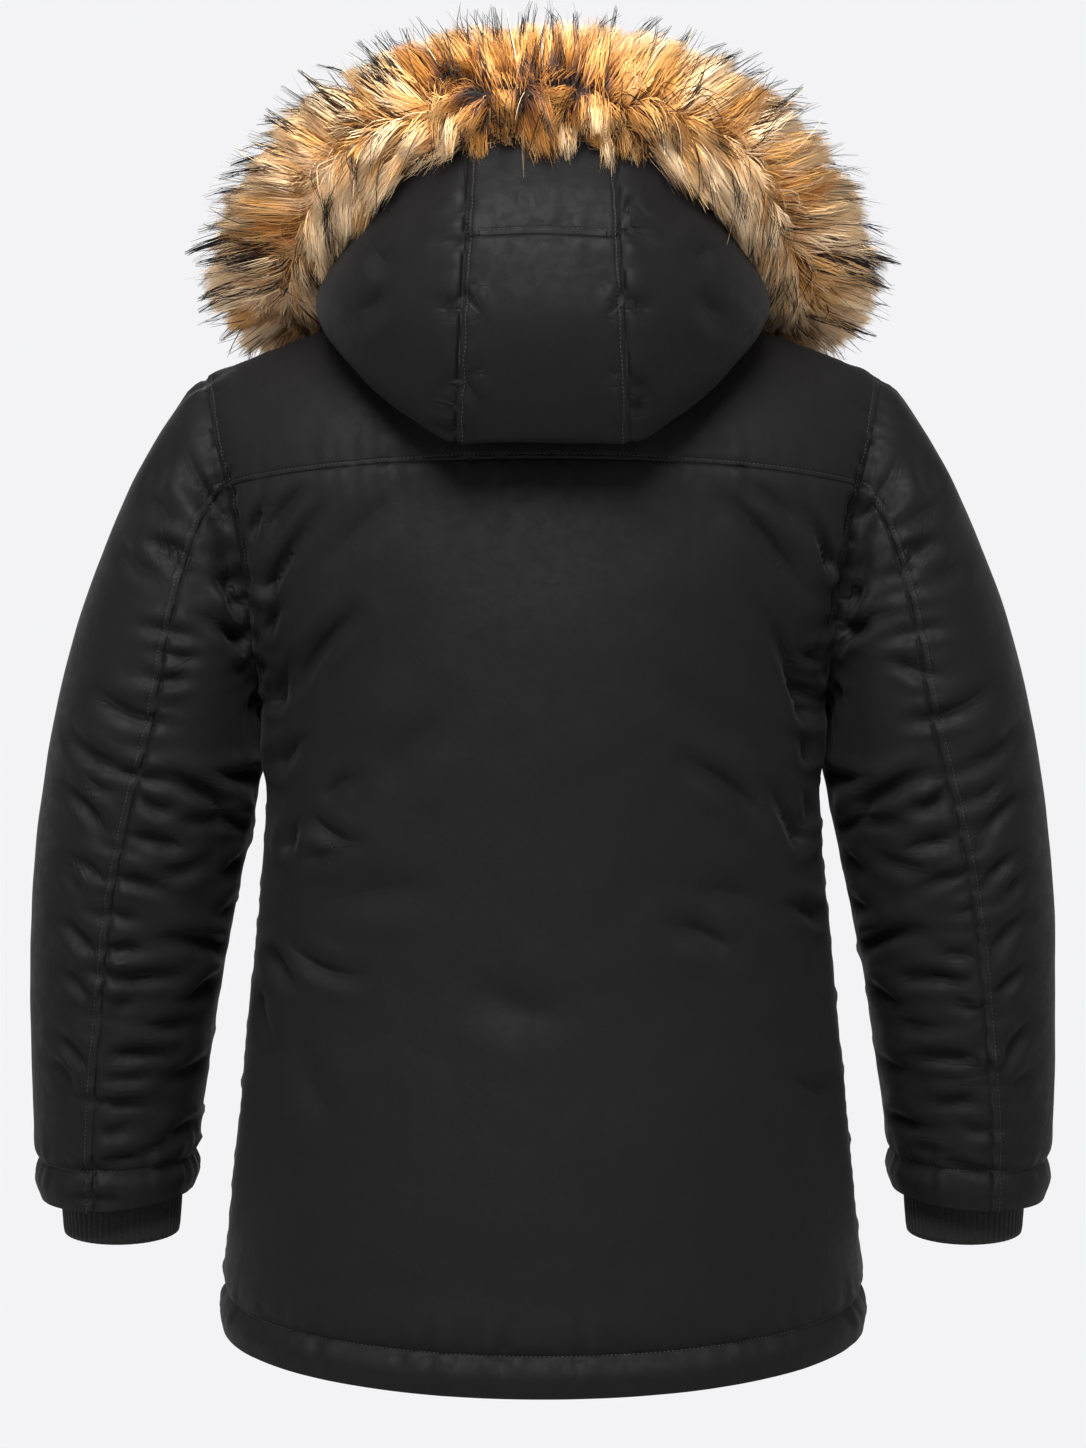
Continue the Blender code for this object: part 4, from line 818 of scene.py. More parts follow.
def bulge_relief(points, normals, towards, bulge):
    side = np.clip(normals[:, 0] * np.sign(points[:, 0]) * towards, 0, 1)
    far = ((points[:, 1] - bulge.y) / bulge.wide) ** 2 + ((points[:, 2] - bulge.z) / bulge.tall) ** 2
    return bulge.high * side * np.exp(-far)

# %% The finished outer face of a grid
FOLDS = []  # for each grid, the sides of its creases' lines and their strength


def relieved(grid, normals, creases, seams, band, bulge=None, lap_share=BODY_LAP):
    """The finished outer face of a grid."""
    points, ways = grid.reshape(-1, 3), normals.reshape(-1, 3)
    offset = soft_swell(points, SWELL_DEPTH, SWELL_SIZE, SWELL_SEED)
    if bulge:
        offset += bulge_relief(points, ways, *bulge)
    fold, force = np.full(len(points), FOLD_FAR), np.zeros(len(points))
    for face, lines in creases.items():
        moved, beside, strong = crease_relief(points, ways, lines, face, lap_share)
        offset += moved
        fold, force = np.where(strong > force, beside, fold), np.maximum(strong, force)
    dips, z = np.zeros(len(points)), points[:, 2]
    crowded = CLEFT_LEAST + (1 - CLEFT_LEAST) * smooth_step((CLEFT_TOP - z) / CLEFT_TOP_FADE)
    crowded = crowded * smooth_step((z - CLEFT_LOW) / CLEFT_LOW_FADE)
    for seam in seams:
        distance, run = seam_distances(points, seam.line)
        if seam.held:
            offset *= 1 - bell(distance / seam.held)
        offset += pucker_relief(distance, run, seam.pucker, seam.seed)
        dips = np.maximum(dips, seam.dip * bell(distance / SEAM_HALF))
        dips = np.maximum(dips, seam.cleft * crowded * bell(distance / CLEFT_HALF))
    offset = (offset - dips).reshape(grid.shape[:2]) + band[:, None]
    FOLDS.append((fold.reshape(grid.shape[:2]), force.reshape(grid.shape[:2])))
    return grid + normals * offset[..., None]


def band_profile(net, steps, rows, band):
    """How far each fine row stands out or in for a stitched band."""
    coarse = np.array([band.get(row, 0.0) for row in rows])
    return cubic_weights(mean_knots(net, 0), steps) @ coarse

# %% Every seam, and the relief of every grid
SIDE_NAMES, FLIPS = ("left", "right"), (np.array([1, 1, 1]), FLIP)
BACK_GRID, FRONT_GRID, SLEEVE_GRID, HOOD_GRID = 0, 1, 3, 5  # fronts and sleeves: the left one, then the right
body_all = [back_fine, front_fine, mirrored(front_fine)]
sleeves = [sleeve_fine, mirrored(sleeve_fine)]
SMOOTH = body_all + sleeves + [hood_fine]
normals = share_facings(SMOOTH)
yoke_line = at_line(body_steps, len(BODY_ROWS) + len(ARMHOLE_ROWS) - 2)
hem_line = at_line(body_steps, 2)
cuff_line = at_line(sleeve_steps, SLEEVE_ROWS.index(CUFF_SEAM))
seam_back, seam_front = (at_line(ring_steps, place) for place in (SLEEVE_SEAM_BACK, SLEEVE_SEAM_FRONT))
strip_left, strip_right = (at_line(hood_column_steps, HOOD_COLUMNS + k * STRIP_STEPS) for k in (-1, 1))
cross_line = at_line(hood_steps, HOOD_ROWS.index(HOOD_CROSS_SEAM))
strip = slice(strip_left, strip_right + 1)

armholes = [sleeve_fine[0] * flip for flip in FLIPS]
side_seams = [back_fine[: armpit_line + 1, column] for column in (0, -1)]
front_lines = [front_fine[:, 0] * flip for flip in FLIPS]
strip_lines = [hood_fine[:, strip_left], hood_fine[:, strip_right]]
shoulders = [front_fine[-1], front_fine[-1] * FLIP, back_fine[-1]]
body_seams = [Seam(line, 0.0006, 0.0010, 0, 11 + i) for i, line in enumerate(side_seams)]
body_seams += [Seam(back_fine[yoke_line], 0.0005, 0.0012, 0.010, 15)]
body_seams += [Seam(body[hem_line], 0.0010, 0.0014, 0, 16 + i) for i, body in enumerate(body_all)]
body_seams += [Seam(line, 0.0004, 0.0010, 0.006, 20 + i) for i, line in enumerate(shoulders)]
front_edges = [Seam(line, 0.0006, 0.0, 0.012, 24 + i) for i, line in enumerate(front_lines)]
armhole_seams = [Seam(line, 0.0017, 0.0020, 0.006, 30 + i, ARMHOLE_CLEFT) for i, line in enumerate(armholes)]
body_band = band_profile(back_net, body_steps, body_ups, BODY_BAND)
body_creases = {1: deeper(BACK_CREASES, 1.15, 0.9), -1: deeper(FRONT_CREASES, 1.3, 0.85)}
GRIDS = []
for i, grid in enumerate(body_all):
    seams = body_seams + (front_edges if i else []) + armhole_seams
    GRIDS.append(relieved(grid, normals[i], body_creases, seams, body_band, BODY_BULGE))

sleeve_band = band_profile(sleeve_coarse, sleeve_steps, SLEEVE_ROWS, SLEEVE_BAND)
for i, grid in enumerate(sleeves):
    back, front = (seam_back, seam_front) if i == 0 else (-1 - seam_back, -1 - seam_front)
    seams = [Seam(grid[:, back], 0.0019, 0.0016, 0, 40 + i), Seam(grid[:, front], 0.0012, 0.0012, 0, 42 + i)]
    seams += [Seam(grid[cuff_line], 0.0009, 0.0014, 0, 44 + i), armhole_seams[i]]
    shown = SLEEVE_CREASES if i == 0 else varied(SLEEVE_CREASES, 5, side=-1, shift=4.0)
    hidden = varied(SLEEVE_CREASES, 7 + i, side=1 - 2 * i, shift=16)
    way, sides = normals[SLEEVE_GRID + i], {1: shown, -1: hidden}
    GRIDS.append(relieved(grid, way, sides, seams, sleeve_band, SLEEVE_BULGE, SLEEVE_LAP))

hood_seams = [Seam(line, 0.0005, 0.0021, 0.004, 50 + i) for i, line in enumerate(strip_lines)]
hood_seams += [Seam(hood_fine[cross_line, strip], 0.0004, 0.0012, 0, 52)]
hood_seams += [Seam(hood_fine[0], 0.0006, 0.0008, 0.010, 53), Seam(hood_fine[-1], 0.0010, 0.0, 0.008, 54)]
hood_creases = {1: deeper(HOOD_CREASES, 1.6, 1.0)}
GRIDS.append(relieved(hood_fine, normals[HOOD_GRID], hood_creases, hood_seams, np.zeros(len(hood_fine))))
final_normals = share_facings(GRIDS)
print("relief made on", sum(grid.shape[0] * grid.shape[1] for grid in GRIDS), "points")

# %% [markdown]
# A cut panel is a thin closed shell: a fine outer face, a plainer inner face one cloth's thickness behind
# it and a rim that joins them. The inner face takes every second line of points, because nobody looks into
# a sleeve. The cloth's own map, in metres from one corner, is kept as its UV map, so that the weave lies
# along the cut.

# %% Make a panel
def band_of_triangles(outer, inner):
    """The rim between a fine border and the coarser one behind it, two fine spans to each coarse one."""
    faces = []
    for k in range(len(inner) - 1):
        a, b, c = outer[2 * k : 2 * k + 3]
        faces += [(a, inner[k], b), (b, inner[k], inner[k + 1]), (b, inner[k + 1], c)]
    return faces


def split_cells(grid, numbers):
    """Two triangles for each cell, cut along its shorter diagonal."""
    a, b, c, d = numbers[:-1, :-1], numbers[:-1, 1:], numbers[1:, 1:], numbers[1:, :-1]
    first = (lengths(grid[:-1, :-1] - grid[1:, 1:]) <= lengths(grid[:-1, 1:] - grid[1:, :-1]))[..., None]
    upper = np.where(first, np.stack([a, b, c], -1), np.stack([a, b, d], -1))
    lower = np.where(first, np.stack([a, c, d], -1), np.stack([b, c, d], -1))
    return np.concatenate([upper.reshape(-1, 3), lower.reshape(-1, 3)])


def border(numbers):
    """A grid's border as one closed run."""
    return np.concatenate([numbers[0], numbers[1:, -1], numbers[-1, -2::-1], numbers[-2::-1, 0]])


def keep_field(mesh, field, values):
    """Keeps a value or a vector of each point of a mesh as an attribute."""
    values = np.asarray(values, np.float32)
    kind, key = ("FLOAT_VECTOR", "vector") if values.ndim == 2 else ("FLOAT", "value")
    mesh.attributes.new(field, kind, "POINT").data.foreach_set(key, values.ravel())


def make_panel(name, grid, way, thick, finish, fields):
    """A closed shell on a grid. Fields are values for each point of its outer face, kept as attributes."""
    rows, columns = grid.shape[:2]
    inner = (grid - way * thick)[::2, ::2]
    outer_numbers = np.arange(rows * columns).reshape(rows, columns)
    inner_numbers = rows * columns + np.arange(inner.shape[0] * inner.shape[1]).reshape(inner.shape[:2])
    rim = band_of_triangles(border(outer_numbers), border(inner_numbers))
    faces = [split_cells(grid, outer_numbers), split_cells(inner, inner_numbers)[:, ::-1], np.array(rim)]
    points = np.concatenate([grid.reshape(-1, 3), inner.reshape(-1, 3)])
    item = new_object(name, points, np.concatenate(faces).tolist(), finish)
    mesh = item.data
    across = np.concatenate([np.zeros((rows, 1)), lengths(np.diff(grid, axis=1)).cumsum(1)], axis=1)
    down = np.concatenate([np.zeros((1, columns)), lengths(np.diff(grid, axis=0)).cumsum(0)])
    across = across - across[:, columns // 2 : columns // 2 + 1]
    cut = np.stack([across, down], -1)
    cut = np.concatenate([cut.reshape(-1, 2), cut[::2, ::2].reshape(-1, 2)])
    corners = np.empty(len(mesh.loops), int)
    mesh.loops.foreach_get("vertex_index", corners)
    mesh.uv_layers.new(name="cut").uv.foreach_set("vector", cut[corners].astype(np.float32).ravel())
    for field, values in fields.items():
        values = values.reshape(rows, columns)
        keep_field(mesh, field, np.concatenate([values.ravel(), values[::2, ::2].ravel()]))
    mesh.set_sharp_from_angle(angle=math.radians(70))
    return item


def flat_size(grid):
    """The width, length and area of a grid's cut, measured on its smooth form."""
    wide, long = lengths(np.diff(grid, axis=1)).sum(1), lengths(np.diff(grid, axis=0)).sum(0)
    area = lengths(np.cross(grid[1:, 1:] - grid[:-1, :-1], grid[1:, :-1] - grid[:-1, 1:])).sum() / 2
    return float(wide.max()), float(long.max()), float(area)

# %% [markdown]
# The shell is a tightly woven matt polyester. Its threads are about 0.2 mm apart, too fine to see from
# here, so the weave is drawn at 1.1 mm as a faint grain. What the eye does see is the soft uneven light on
# thin cloth over wadding. Three layers of bump give that: slow dents, small crumples and grooves at seams
# and stitches. The grooves at seams, stitches and deep creases are also painted darker, as painted shade,
# and the doubled band between a seam and its stitches is painted lighter, as a painted highlight.

# %% Shell cloth
THREAD_PITCH = 0.0011


def woven_shell():
    material, tree = new_finish("woven_polyester_shell")
    place = object_place(tree)
    seam, row, fold, force = (
        add_node(tree, "ShaderNodeAttribute", attribute_name=name).outputs["Fac"]
        for name in ("seam", "stitch", "fold", "fold_force")
    )
    cut = add_node(tree, "ShaderNodeUVMap", uv_map="cut").outputs["UV"]
    cut = add_node(tree, "ShaderNodeSeparateXYZ", {0: cut})
    weave = times(tree, *(thread_wave(tree, cut.outputs[axis], THREAD_PITCH) for axis in (0, 1)))
    dents = noise_of(tree, place, 34.0, 2.0)
    crumple = noise_of(tree, place, 120.0, 3.0, 0.6)
    grain = noise_of(tree, place, 900.0, 1.0)
    band = range_of(tree, row, -0.0010, 0.0008, 1.0, 0.0)  # the doubled cloth between a seam and its stitches
    seam_groove = range_of(tree, seam, 0.0, 0.0019, 1.0, 0.0)
    row_groove = range_of(tree, math_of(tree, "ABSOLUTE", row), 0.0, 0.0018, 1.0, 0.0)
    fold_sides = [range_of(tree, fold, 0.0, 0.0060, 1.0, 0.0), range_of(tree, fold, -0.0024, 0.0, 0.0, 1.0)]
    fold_groove = times(tree, times(tree, *fold_sides), force)
    heights = [
        (weave, 0.000035), (dents, 0.0004), (crumple, 0.00028), (grain, 0.00006),
        (seam_groove, -0.0007), (row_groove, -0.0003), (band, 0.0005), (fold_groove, -0.0016),
    ]
    # Painted shade: seam grooves, stitch grooves and the drawn lines of deep creases are painted darker,
    # towards near black, on top of their bump.
    shades = [(seam_groove, 0.95), (row_groove, 0.3), (fold_groove, 0.65)]
    height, shade = (sum_of(tree, [times(tree, *layer) for layer in layers]) for layers in (heights, shades))
    shade = add_node(tree, "ShaderNodeClamp", {0: shade}).outputs[0]
    hue = blend(tree, dents, colour("#060506"), colour("#090809"))
    # Painted highlight: the doubled band between a seam and its stitches is painted lighter, as raised cloth
    # that catches more light.
    hue = blend(tree, times(tree, band, 0.4), hue, colour("#0F0D0F"))
    look = {
        "Base Color": blend(tree, shade, hue, colour("#020202")),
        "Roughness": range_of(tree, crumple, 0.3, 0.7, 0.60, 0.72),
        "Specular IOR Level": 0.12,
        "Sheen Weight": 0.015,
        "Sheen Roughness": 0.45,
    }
    end_finish(tree, look, height, strength=0.85)
    return material


shell_cloth = woven_shell()

# %% [markdown]
# The twelve panels of the coat. Each names the part of its grid, and the seams beside it that carry a row
# of topstitching, with that row's distance from the seam.

# %% The coat's panels
# A seam, how far its stitches lie from it, and how much wider than usual its groove is on this side.
Row = namedtuple("Row", "line offset wide", defaults=(1.0,))
PLAIN = 1.0  # a seam with no row of stitches: the row is put a metre away
ON_ARMHOLE, ON_YOKE, ON_FRONT, ON_SLEEVE, ON_HOOD, ON_HEM = 0.0048, 0.0034, 0.007, 0.0060, 0.0052, 0.0
last = sleeve_fine.shape[1] - 1
under = list(range(seam_front, last)) + list(range(seam_back + 1))
top = list(range(seam_back, seam_front + 1))
everything = slice(None)
cross_seam, yoke_seam = hood_fine[cross_line, strip], back_fine[yoke_line]
Panel = namedtuple("Panel", "node grid rows columns rows_of_stitches")


def on_sleeve(columns, i):
    """Columns of the left sleeve as they are counted on one of the two sleeves."""
    return columns if i == 0 else [last - j for j in columns][::-1]


armhole_rows = [Row(line, ON_ARMHOLE) for line in armholes]
strip_rows = [Row(line, ON_HOOD) for line in strip_lines]
back_rows = armhole_rows + [Row(back_fine[hem_line], ON_HEM, 1.7), Row(yoke_seam, PLAIN)]
back_rows += [Row(line, PLAIN) for line in side_seams]
yoke_rows = armhole_rows + [Row(yoke_seam, ON_YOKE), Row(back_fine[-1], ON_YOKE)]
PANELS = [
    Panel("back_panel", BACK_GRID, slice(0, yoke_line + 1), everything, back_rows),
    Panel("back_yoke", BACK_GRID, slice(yoke_line, None), everything, yoke_rows),
]
for i, side in enumerate(SIDE_NAMES):
    hem = body_all[FRONT_GRID + i][hem_line]
    rows = [armhole_rows[i], Row(hem, ON_HEM, 1.7), Row(front_lines[i], ON_FRONT), Row(side_seams[i], PLAIN)]
    PANELS.append(Panel("front_" + side, FRONT_GRID + i, everything, everything, rows))
for i, side in enumerate(SIDE_NAMES):
    back, front = (sleeves[i][:, on_sleeve([column], i)[0]] for column in (seam_back, seam_front))
    rows = [Row(sleeves[i][cuff_line], ON_HEM, 1.5), Row(front, PLAIN), Row(sleeves[i][0], PLAIN, 2.2)]
    for name, columns, row in (("top", top, Row(back, ON_SLEEVE)), ("under", under, Row(back, PLAIN, 1.5))):
        columns = on_sleeve(columns, i)
        PANELS.append(Panel(f"sleeve_{name}_{side}", SLEEVE_GRID + i, everything, columns, [row] + rows))
PANELS += [
    Panel("hood_back", HOOD_GRID, slice(0, cross_line + 1), strip, strip_rows + [Row(cross_seam, PLAIN)]),
    Panel("hood_crown", HOOD_GRID, slice(cross_line, None), strip, strip_rows + [Row(cross_seam, ON_HOOD)]),
]
for i, columns in enumerate((slice(0, strip_left + 1), slice(strip_right, None))):
    rows = [Row(strip_lines[i], PLAIN, 1.5), Row(hood_fine[-1], PLAIN)]
    PANELS.append(Panel("hood_side_" + SIDE_NAMES[i], HOOD_GRID, everything, columns, rows))

# %% Dress every panel
def stitch_fields(points, rows):
    """For each point, how far it lies from the nearest seam, and past or short of its row of stitches."""
    seam, stitch = np.full(len(points), PLAIN), np.full(len(points), PLAIN)
    for row in rows:
        distance, _ = seam_distances(points, row.line)
        seam = np.minimum(seam, distance / row.wide)
        if row.offset < PLAIN:
            gap = distance - row.offset
            stitch = np.where(np.abs(gap) < np.abs(stitch), gap, stitch)
    return seam, stitch


def hand_over(item, node=None):
    """Makes a piece move with the coat, and hides the solid of the frame that it stands for, if one is named.
    """
    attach(item, "coat")
    if node:
        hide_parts(node)


for piece in PANELS:
    layers = GRIDS[piece.grid], SMOOTH[piece.grid], final_normals[piece.grid], *FOLDS[piece.grid]
    grid, smooth, way, fold, force = (layer[piece.rows][:, piece.columns] for layer in layers)
    seam, stitch = stitch_fields(smooth.reshape(-1, 3), piece.rows_of_stitches)
    fields = {"seam": seam, "stitch": stitch, "fold": fold, "fold_force": force}
    thick = HOOD_CLOTH if piece.grid == HOOD_GRID else CLOTH
    item = make_panel("cloth_" + piece.node, grid, way, thick, shell_cloth, fields)
    hand_over(item, piece.node)
    wide, long, area = flat_size(smooth)
    cut = f"cut {round(wide, 3)} x {round(long, 3)} m, {round(area, 4)} m2"
    print(piece.node, len(item.data.polygons), "faces,", cut)

# %% [markdown]
# Topstitching is a row of single stitches, each a short rounded thread that lies in a dent of its own.
# Setting them by hand would take thousands of copies. A Geometry Nodes tree walks along the seam's path
# instead, puts a small stretched ball at every step, turns it along the path and flat to the cloth, and
# makes the copies real.

# %% Helpers for Geometry Nodes
def new_tree(name, values):
    """A Geometry Nodes tree with named inputs, and its first and last nodes."""
    tree = bpy.data.node_groups.new(name, "GeometryNodeTree")
    tree.interface.new_socket("Geometry", in_out="INPUT", socket_type="NodeSocketGeometry")
    tree.interface.new_socket("Geometry", in_out="OUTPUT", socket_type="NodeSocketGeometry")
    for label, kind in values.items():
        tree.interface.new_socket(label, in_out="INPUT", socket_type=kind)
    return tree, add_node(tree, "NodeGroupInput"), add_node(tree, "NodeGroupOutput")


def field_of(tree, name, kind):
    field = add_node(tree, "GeometryNodeInputNamedAttribute", {"Name": name}, data_type=kind)
    return field.outputs["Attribute"]


def end_tree(tree, shape, given, out):
    """Makes the copies real, shades them smoothly and gives them their finish."""
    real = add_node(tree, "GeometryNodeRealizeInstances", {"Geometry": shape.outputs[0]})
    smooth = add_node(tree, "GeometryNodeSetShadeSmooth", {"Geometry": real.outputs[0]})
    finish = {"Geometry": smooth.outputs[0], "Material": given.outputs["Finish"]}
    done = add_node(tree, "GeometryNodeSetMaterial", finish)
    tree.links.new(done.outputs[0], out.inputs[0])
    return tree

# %% Grow a mesh on paths
def grow(name, points, counts, fields, tree, values):
    """The plain mesh that a tree makes on paths of so many points each. Fields are values for each point."""
    first = np.cumsum([0] + list(counts[:-1]))
    starts = np.concatenate([np.arange(start, start + count - 1) for start, count in zip(first, counts)])
    mesh = bpy.data.meshes.new(name + "_paths")
    mesh.vertices.add(len(points))
    mesh.vertices.foreach_set("co", np.asarray(points, np.float32).ravel())
    mesh.edges.add(len(starts))
    mesh.edges.foreach_set("vertices", np.column_stack([starts, starts + 1]).astype(np.int32).ravel())
    for field, numbers in fields.items():
        keep_field(mesh, field, numbers)
    mesh.update()
    paths = link_new(name + "_paths", mesh)
    modifier = paths.modifiers.new("grow", "NODES")
    modifier.node_group = tree
    for socket in tree.interface.items_tree:
        if socket.item_type == "SOCKET" and socket.in_out == "INPUT" and socket.name in values:
            modifier[socket.identifier] = values[socket.name]
    bpy.context.view_layer.update()
    made = bpy.data.meshes.new_from_object(paths.evaluated_get(bpy.context.evaluated_depsgraph_get()))
    bpy.data.objects.remove(paths, do_unlink=True)
    made.name = name
    return link_new(name, made)

# %% The tree that sets one small shape after another
def row_tree(name, add_shape):
    """A tree that sets a shape at every step of a path, along it and facing the way the path's points say."""
    kinds = {"Spacing": "NodeSocketFloat", "Size": "NodeSocketVector", "Finish": "NodeSocketMaterial"}
    tree, given, out = new_tree(name, kinds)
    path = add_node(tree, "GeometryNodeMeshToCurve", {"Mesh": given.outputs["Geometry"]})
    step = {"Curve": path.outputs[0], "Length": given.outputs["Spacing"]}
    steps = add_node(tree, "GeometryNodeResampleCurve", step, mode="LENGTH")
    sized = {"Geometry": add_shape(tree), "Scale": given.outputs["Size"]}
    shape = add_node(tree, "GeometryNodeTransform", sized)
    tangent = add_node(tree, "GeometryNodeInputTangent")
    along = add_node(tree, "FunctionNodeAlignRotationToVector", {"Vector": tangent.outputs[0]}, axis="X")
    upright = {"Rotation": along.outputs[0], "Vector": field_of(tree, "facing", "FLOAT_VECTOR")}
    flat = add_node(tree, "FunctionNodeAlignRotationToVector", upright, axis="Z", pivot_axis="X")
    places = {"Points": steps.outputs[0], "Instance": shape.outputs[0], "Rotation": flat.outputs[0]}
    return end_tree(tree, add_node(tree, "GeometryNodeInstanceOnPoints", places), given, out)


def add_ball(tree):
    return add_node(tree, "GeometryNodeMeshIcoSphere", {"Radius": 0.5, "Subdivisions": 1}).outputs["Mesh"]


def sewing_thread():
    material, tree = new_finish("polyester_sewing_thread")
    hue = blend(tree, noise_of(tree, object_place(tree), 700.0, 1.0), colour("#0C0B0B"), colour("#191818"))
    end_finish(tree, {"Base Color": hue, "Roughness": 0.55})
    return material

# %% Where the stitches run
STITCH_LIFT, STITCH_REACH = 0.00005, 9  # metres off the cloth, and the points past a seam in which to look
ROWS, COLUMNS = 0, 1  # a seam lies along a row of its grid or along a column
stitch_rows = []


def sew(number, axis, index, step, offset, span):
    """Adds a row of stitches at a distance from a seam, and the way the cloth faces there."""
    grid, ways = GRIDS[number], final_normals[number]
    if axis == ROWS:
        grid, ways = grid.transpose(1, 0, 2), ways.transpose(1, 0, 2)
    lines, facing = [], []
    for k in span:
        line, way = (layer[k, index::step][:STITCH_REACH] for layer in (grid, ways))
        lines.append(between(offset, run_of(line), line)[0])
        facing.append(between(offset, run_of(line), way)[0])
    facing = units(np.array(facing))
    stitch_rows.append((np.array(lines) + facing * STITCH_LIFT, facing))


back_columns, front_columns, _, sleeve_columns, _, _ = (range(grid.shape[1]) for grid in GRIDS)
above_armpit = range(armpit_line, len(back_fine))
sew(BACK_GRID, ROWS, yoke_line, 1, ON_YOKE, back_columns)
sew(BACK_GRID, ROWS, hem_line, 1, ON_HEM, back_columns)
sew(BACK_GRID, COLUMNS, 0, 1, ON_ARMHOLE, above_armpit)
sew(BACK_GRID, COLUMNS, -1, -1, ON_ARMHOLE, above_armpit)
sew(BACK_GRID, ROWS, -1, -1, ON_YOKE, back_columns)
for number, armhole_side, edge_side, step in ((FRONT_GRID, -1, 0, 1), (FRONT_GRID + 1, 0, -1, -1)):
    sew(number, COLUMNS, armhole_side, -step, ON_ARMHOLE, above_armpit)
    sew(number, COLUMNS, edge_side, step, ON_FRONT, range(len(front_fine)))
    sew(number, ROWS, hem_line, 1, ON_HEM, front_columns)
for number, index, step in ((SLEEVE_GRID, seam_back, 1), (SLEEVE_GRID + 1, last - seam_back, -1)):
    sew(number, COLUMNS, index, step, ON_SLEEVE, range(len(sleeve_fine)))
    sew(number, ROWS, cuff_line, 1, ON_HEM, sleeve_columns)
sew(HOOD_GRID, COLUMNS, strip_left, 1, ON_HOOD, range(len(hood_fine)))
sew(HOOD_GRID, COLUMNS, strip_right, -1, ON_HOOD, range(len(hood_fine)))
sew(HOOD_GRID, ROWS, cross_line, 1, ON_HOOD, range(strip_left, strip_right + 1))
STITCH_SPACING, STITCH_SIZE = 0.0031, (0.0024, 0.00062, 0.00050)  # lock stitches, eight to the inch
points, facing = (np.concatenate(parts) for parts in zip(*stitch_rows))
values = {"Spacing": STITCH_SPACING, "Size": STITCH_SIZE, "Finish": sewing_thread()}
counts = [len(line) for line, _ in stitch_rows]
stitch_tree = row_tree("row_of_stitches", add_ball)
stitches = grow("topstitching", points, counts, {"facing": facing}, stitch_tree, values)
hand_over(stitches)
print("stitches:", len(stitches.data.polygons) // 20)

# %% [markdown]
# The inner cuffs are a rib knit: soft vertical ridges with deep lines between them. The ridges are real
# here, one wave of the section for each, and the knit's own loops are a fine bump on top. The cuff flares
# inside the sleeve, where it is sewn to the lining.

# %% Rib knit
RIB_COUNT, RIB_HEIGHT, RIB_WALL = 60, 0.0009, 0.0022
RIB_CENTRE = np.array([0.3110, -0.0360])
RIB_HALF_WIDTH, RIB_HALF_DEPTH = 0.0430, 0.0400
RIB_BOTTOM, RIB_TOP, RIB_FLARE_ALONG, RIB_BACK_DROP = -0.6820, -0.6300, 0.925, 0.007
RIB_PARTS = 8  # points across one rib
RING_COUNT = RIB_PARTS * RIB_COUNT
FLARE_INWARDS = CLOTH + 0.0050


def rib_knit():
    material, tree = new_finish("rib_knit_acrylic")
    place = object_place(tree)
    height = add_node(tree, "ShaderNodeSeparateXYZ", {0: place}).outputs["Z"]
    fuzz = noise_of(tree, place, 650.0, 3.0)
    bump = sum_of(tree, [times(tree, thread_wave(tree, height, 0.0014), 0.00010), times(tree, fuzz, 0.00035)])
    look = {
        "Base Color": blend(tree, fuzz, colour("#0B0A0A"), colour("#151414")),
        "Roughness": 0.88,
        "Specular IOR Level": 0.2,
        "Sheen Weight": 0.05,
        "Sheen Roughness": 0.5,
    }
    end_finish(tree, look, bump)
    return material

# %% The rings of a cuff
def cuff_ring(z, inwards, ribs):
    """The points round a cuff at one height. Ribs is how much of their height the ribs have there."""
    ring = []
    for step in range(RING_COUNT):
        turn = 2 * math.pi * step / RING_COUNT
        rise = RIB_HEIGHT * ribs * abs(math.sin(turn * RIB_COUNT / 2)) ** 0.7
        x = RIB_CENTRE[0] + (RIB_HALF_WIDTH - inwards + rise) * math.cos(turn)
        y = RIB_CENTRE[1] + (RIB_HALF_DEPTH - inwards + rise) * math.sin(turn)
        ring.append((x, y, z - RIB_BACK_DROP * math.sin(turn)))
    return np.array(ring)


def flare_line(inwards):
    row = read(OVALS, RIB_FLARE_ALONG)
    middle = np.array([row.outer_x + row.inner_x, 2 * row.centre_y, row.outer_z + row.inner_z]) / 2
    turns = [math.pi - 2 * math.pi * step / RING_COUNT for step in range(RING_COUNT)]
    ring = np.array([oval_point(RIB_FLARE_ALONG, turn) for turn in turns])
    return ring - units(ring - middle) * inwards


def tube_faces(rings, count, closed=False):
    """The faces of a row of rings. A closed row runs back into its first ring, another has two flat ends."""
    i, j = np.meshgrid(np.arange(rings if closed else rings - 1), np.arange(count), indexing="ij")
    a, b = i * count + j, i * count + (j + 1) % count
    c, d = (b + count) % (rings * count), (a + count) % (rings * count)
    faces = np.stack([a, b, c, d], -1).reshape(-1, 4).tolist()
    ends = [] if closed else [list(range(count))[::-1], list(range((rings - 1) * count, rings * count))]
    return faces + ends


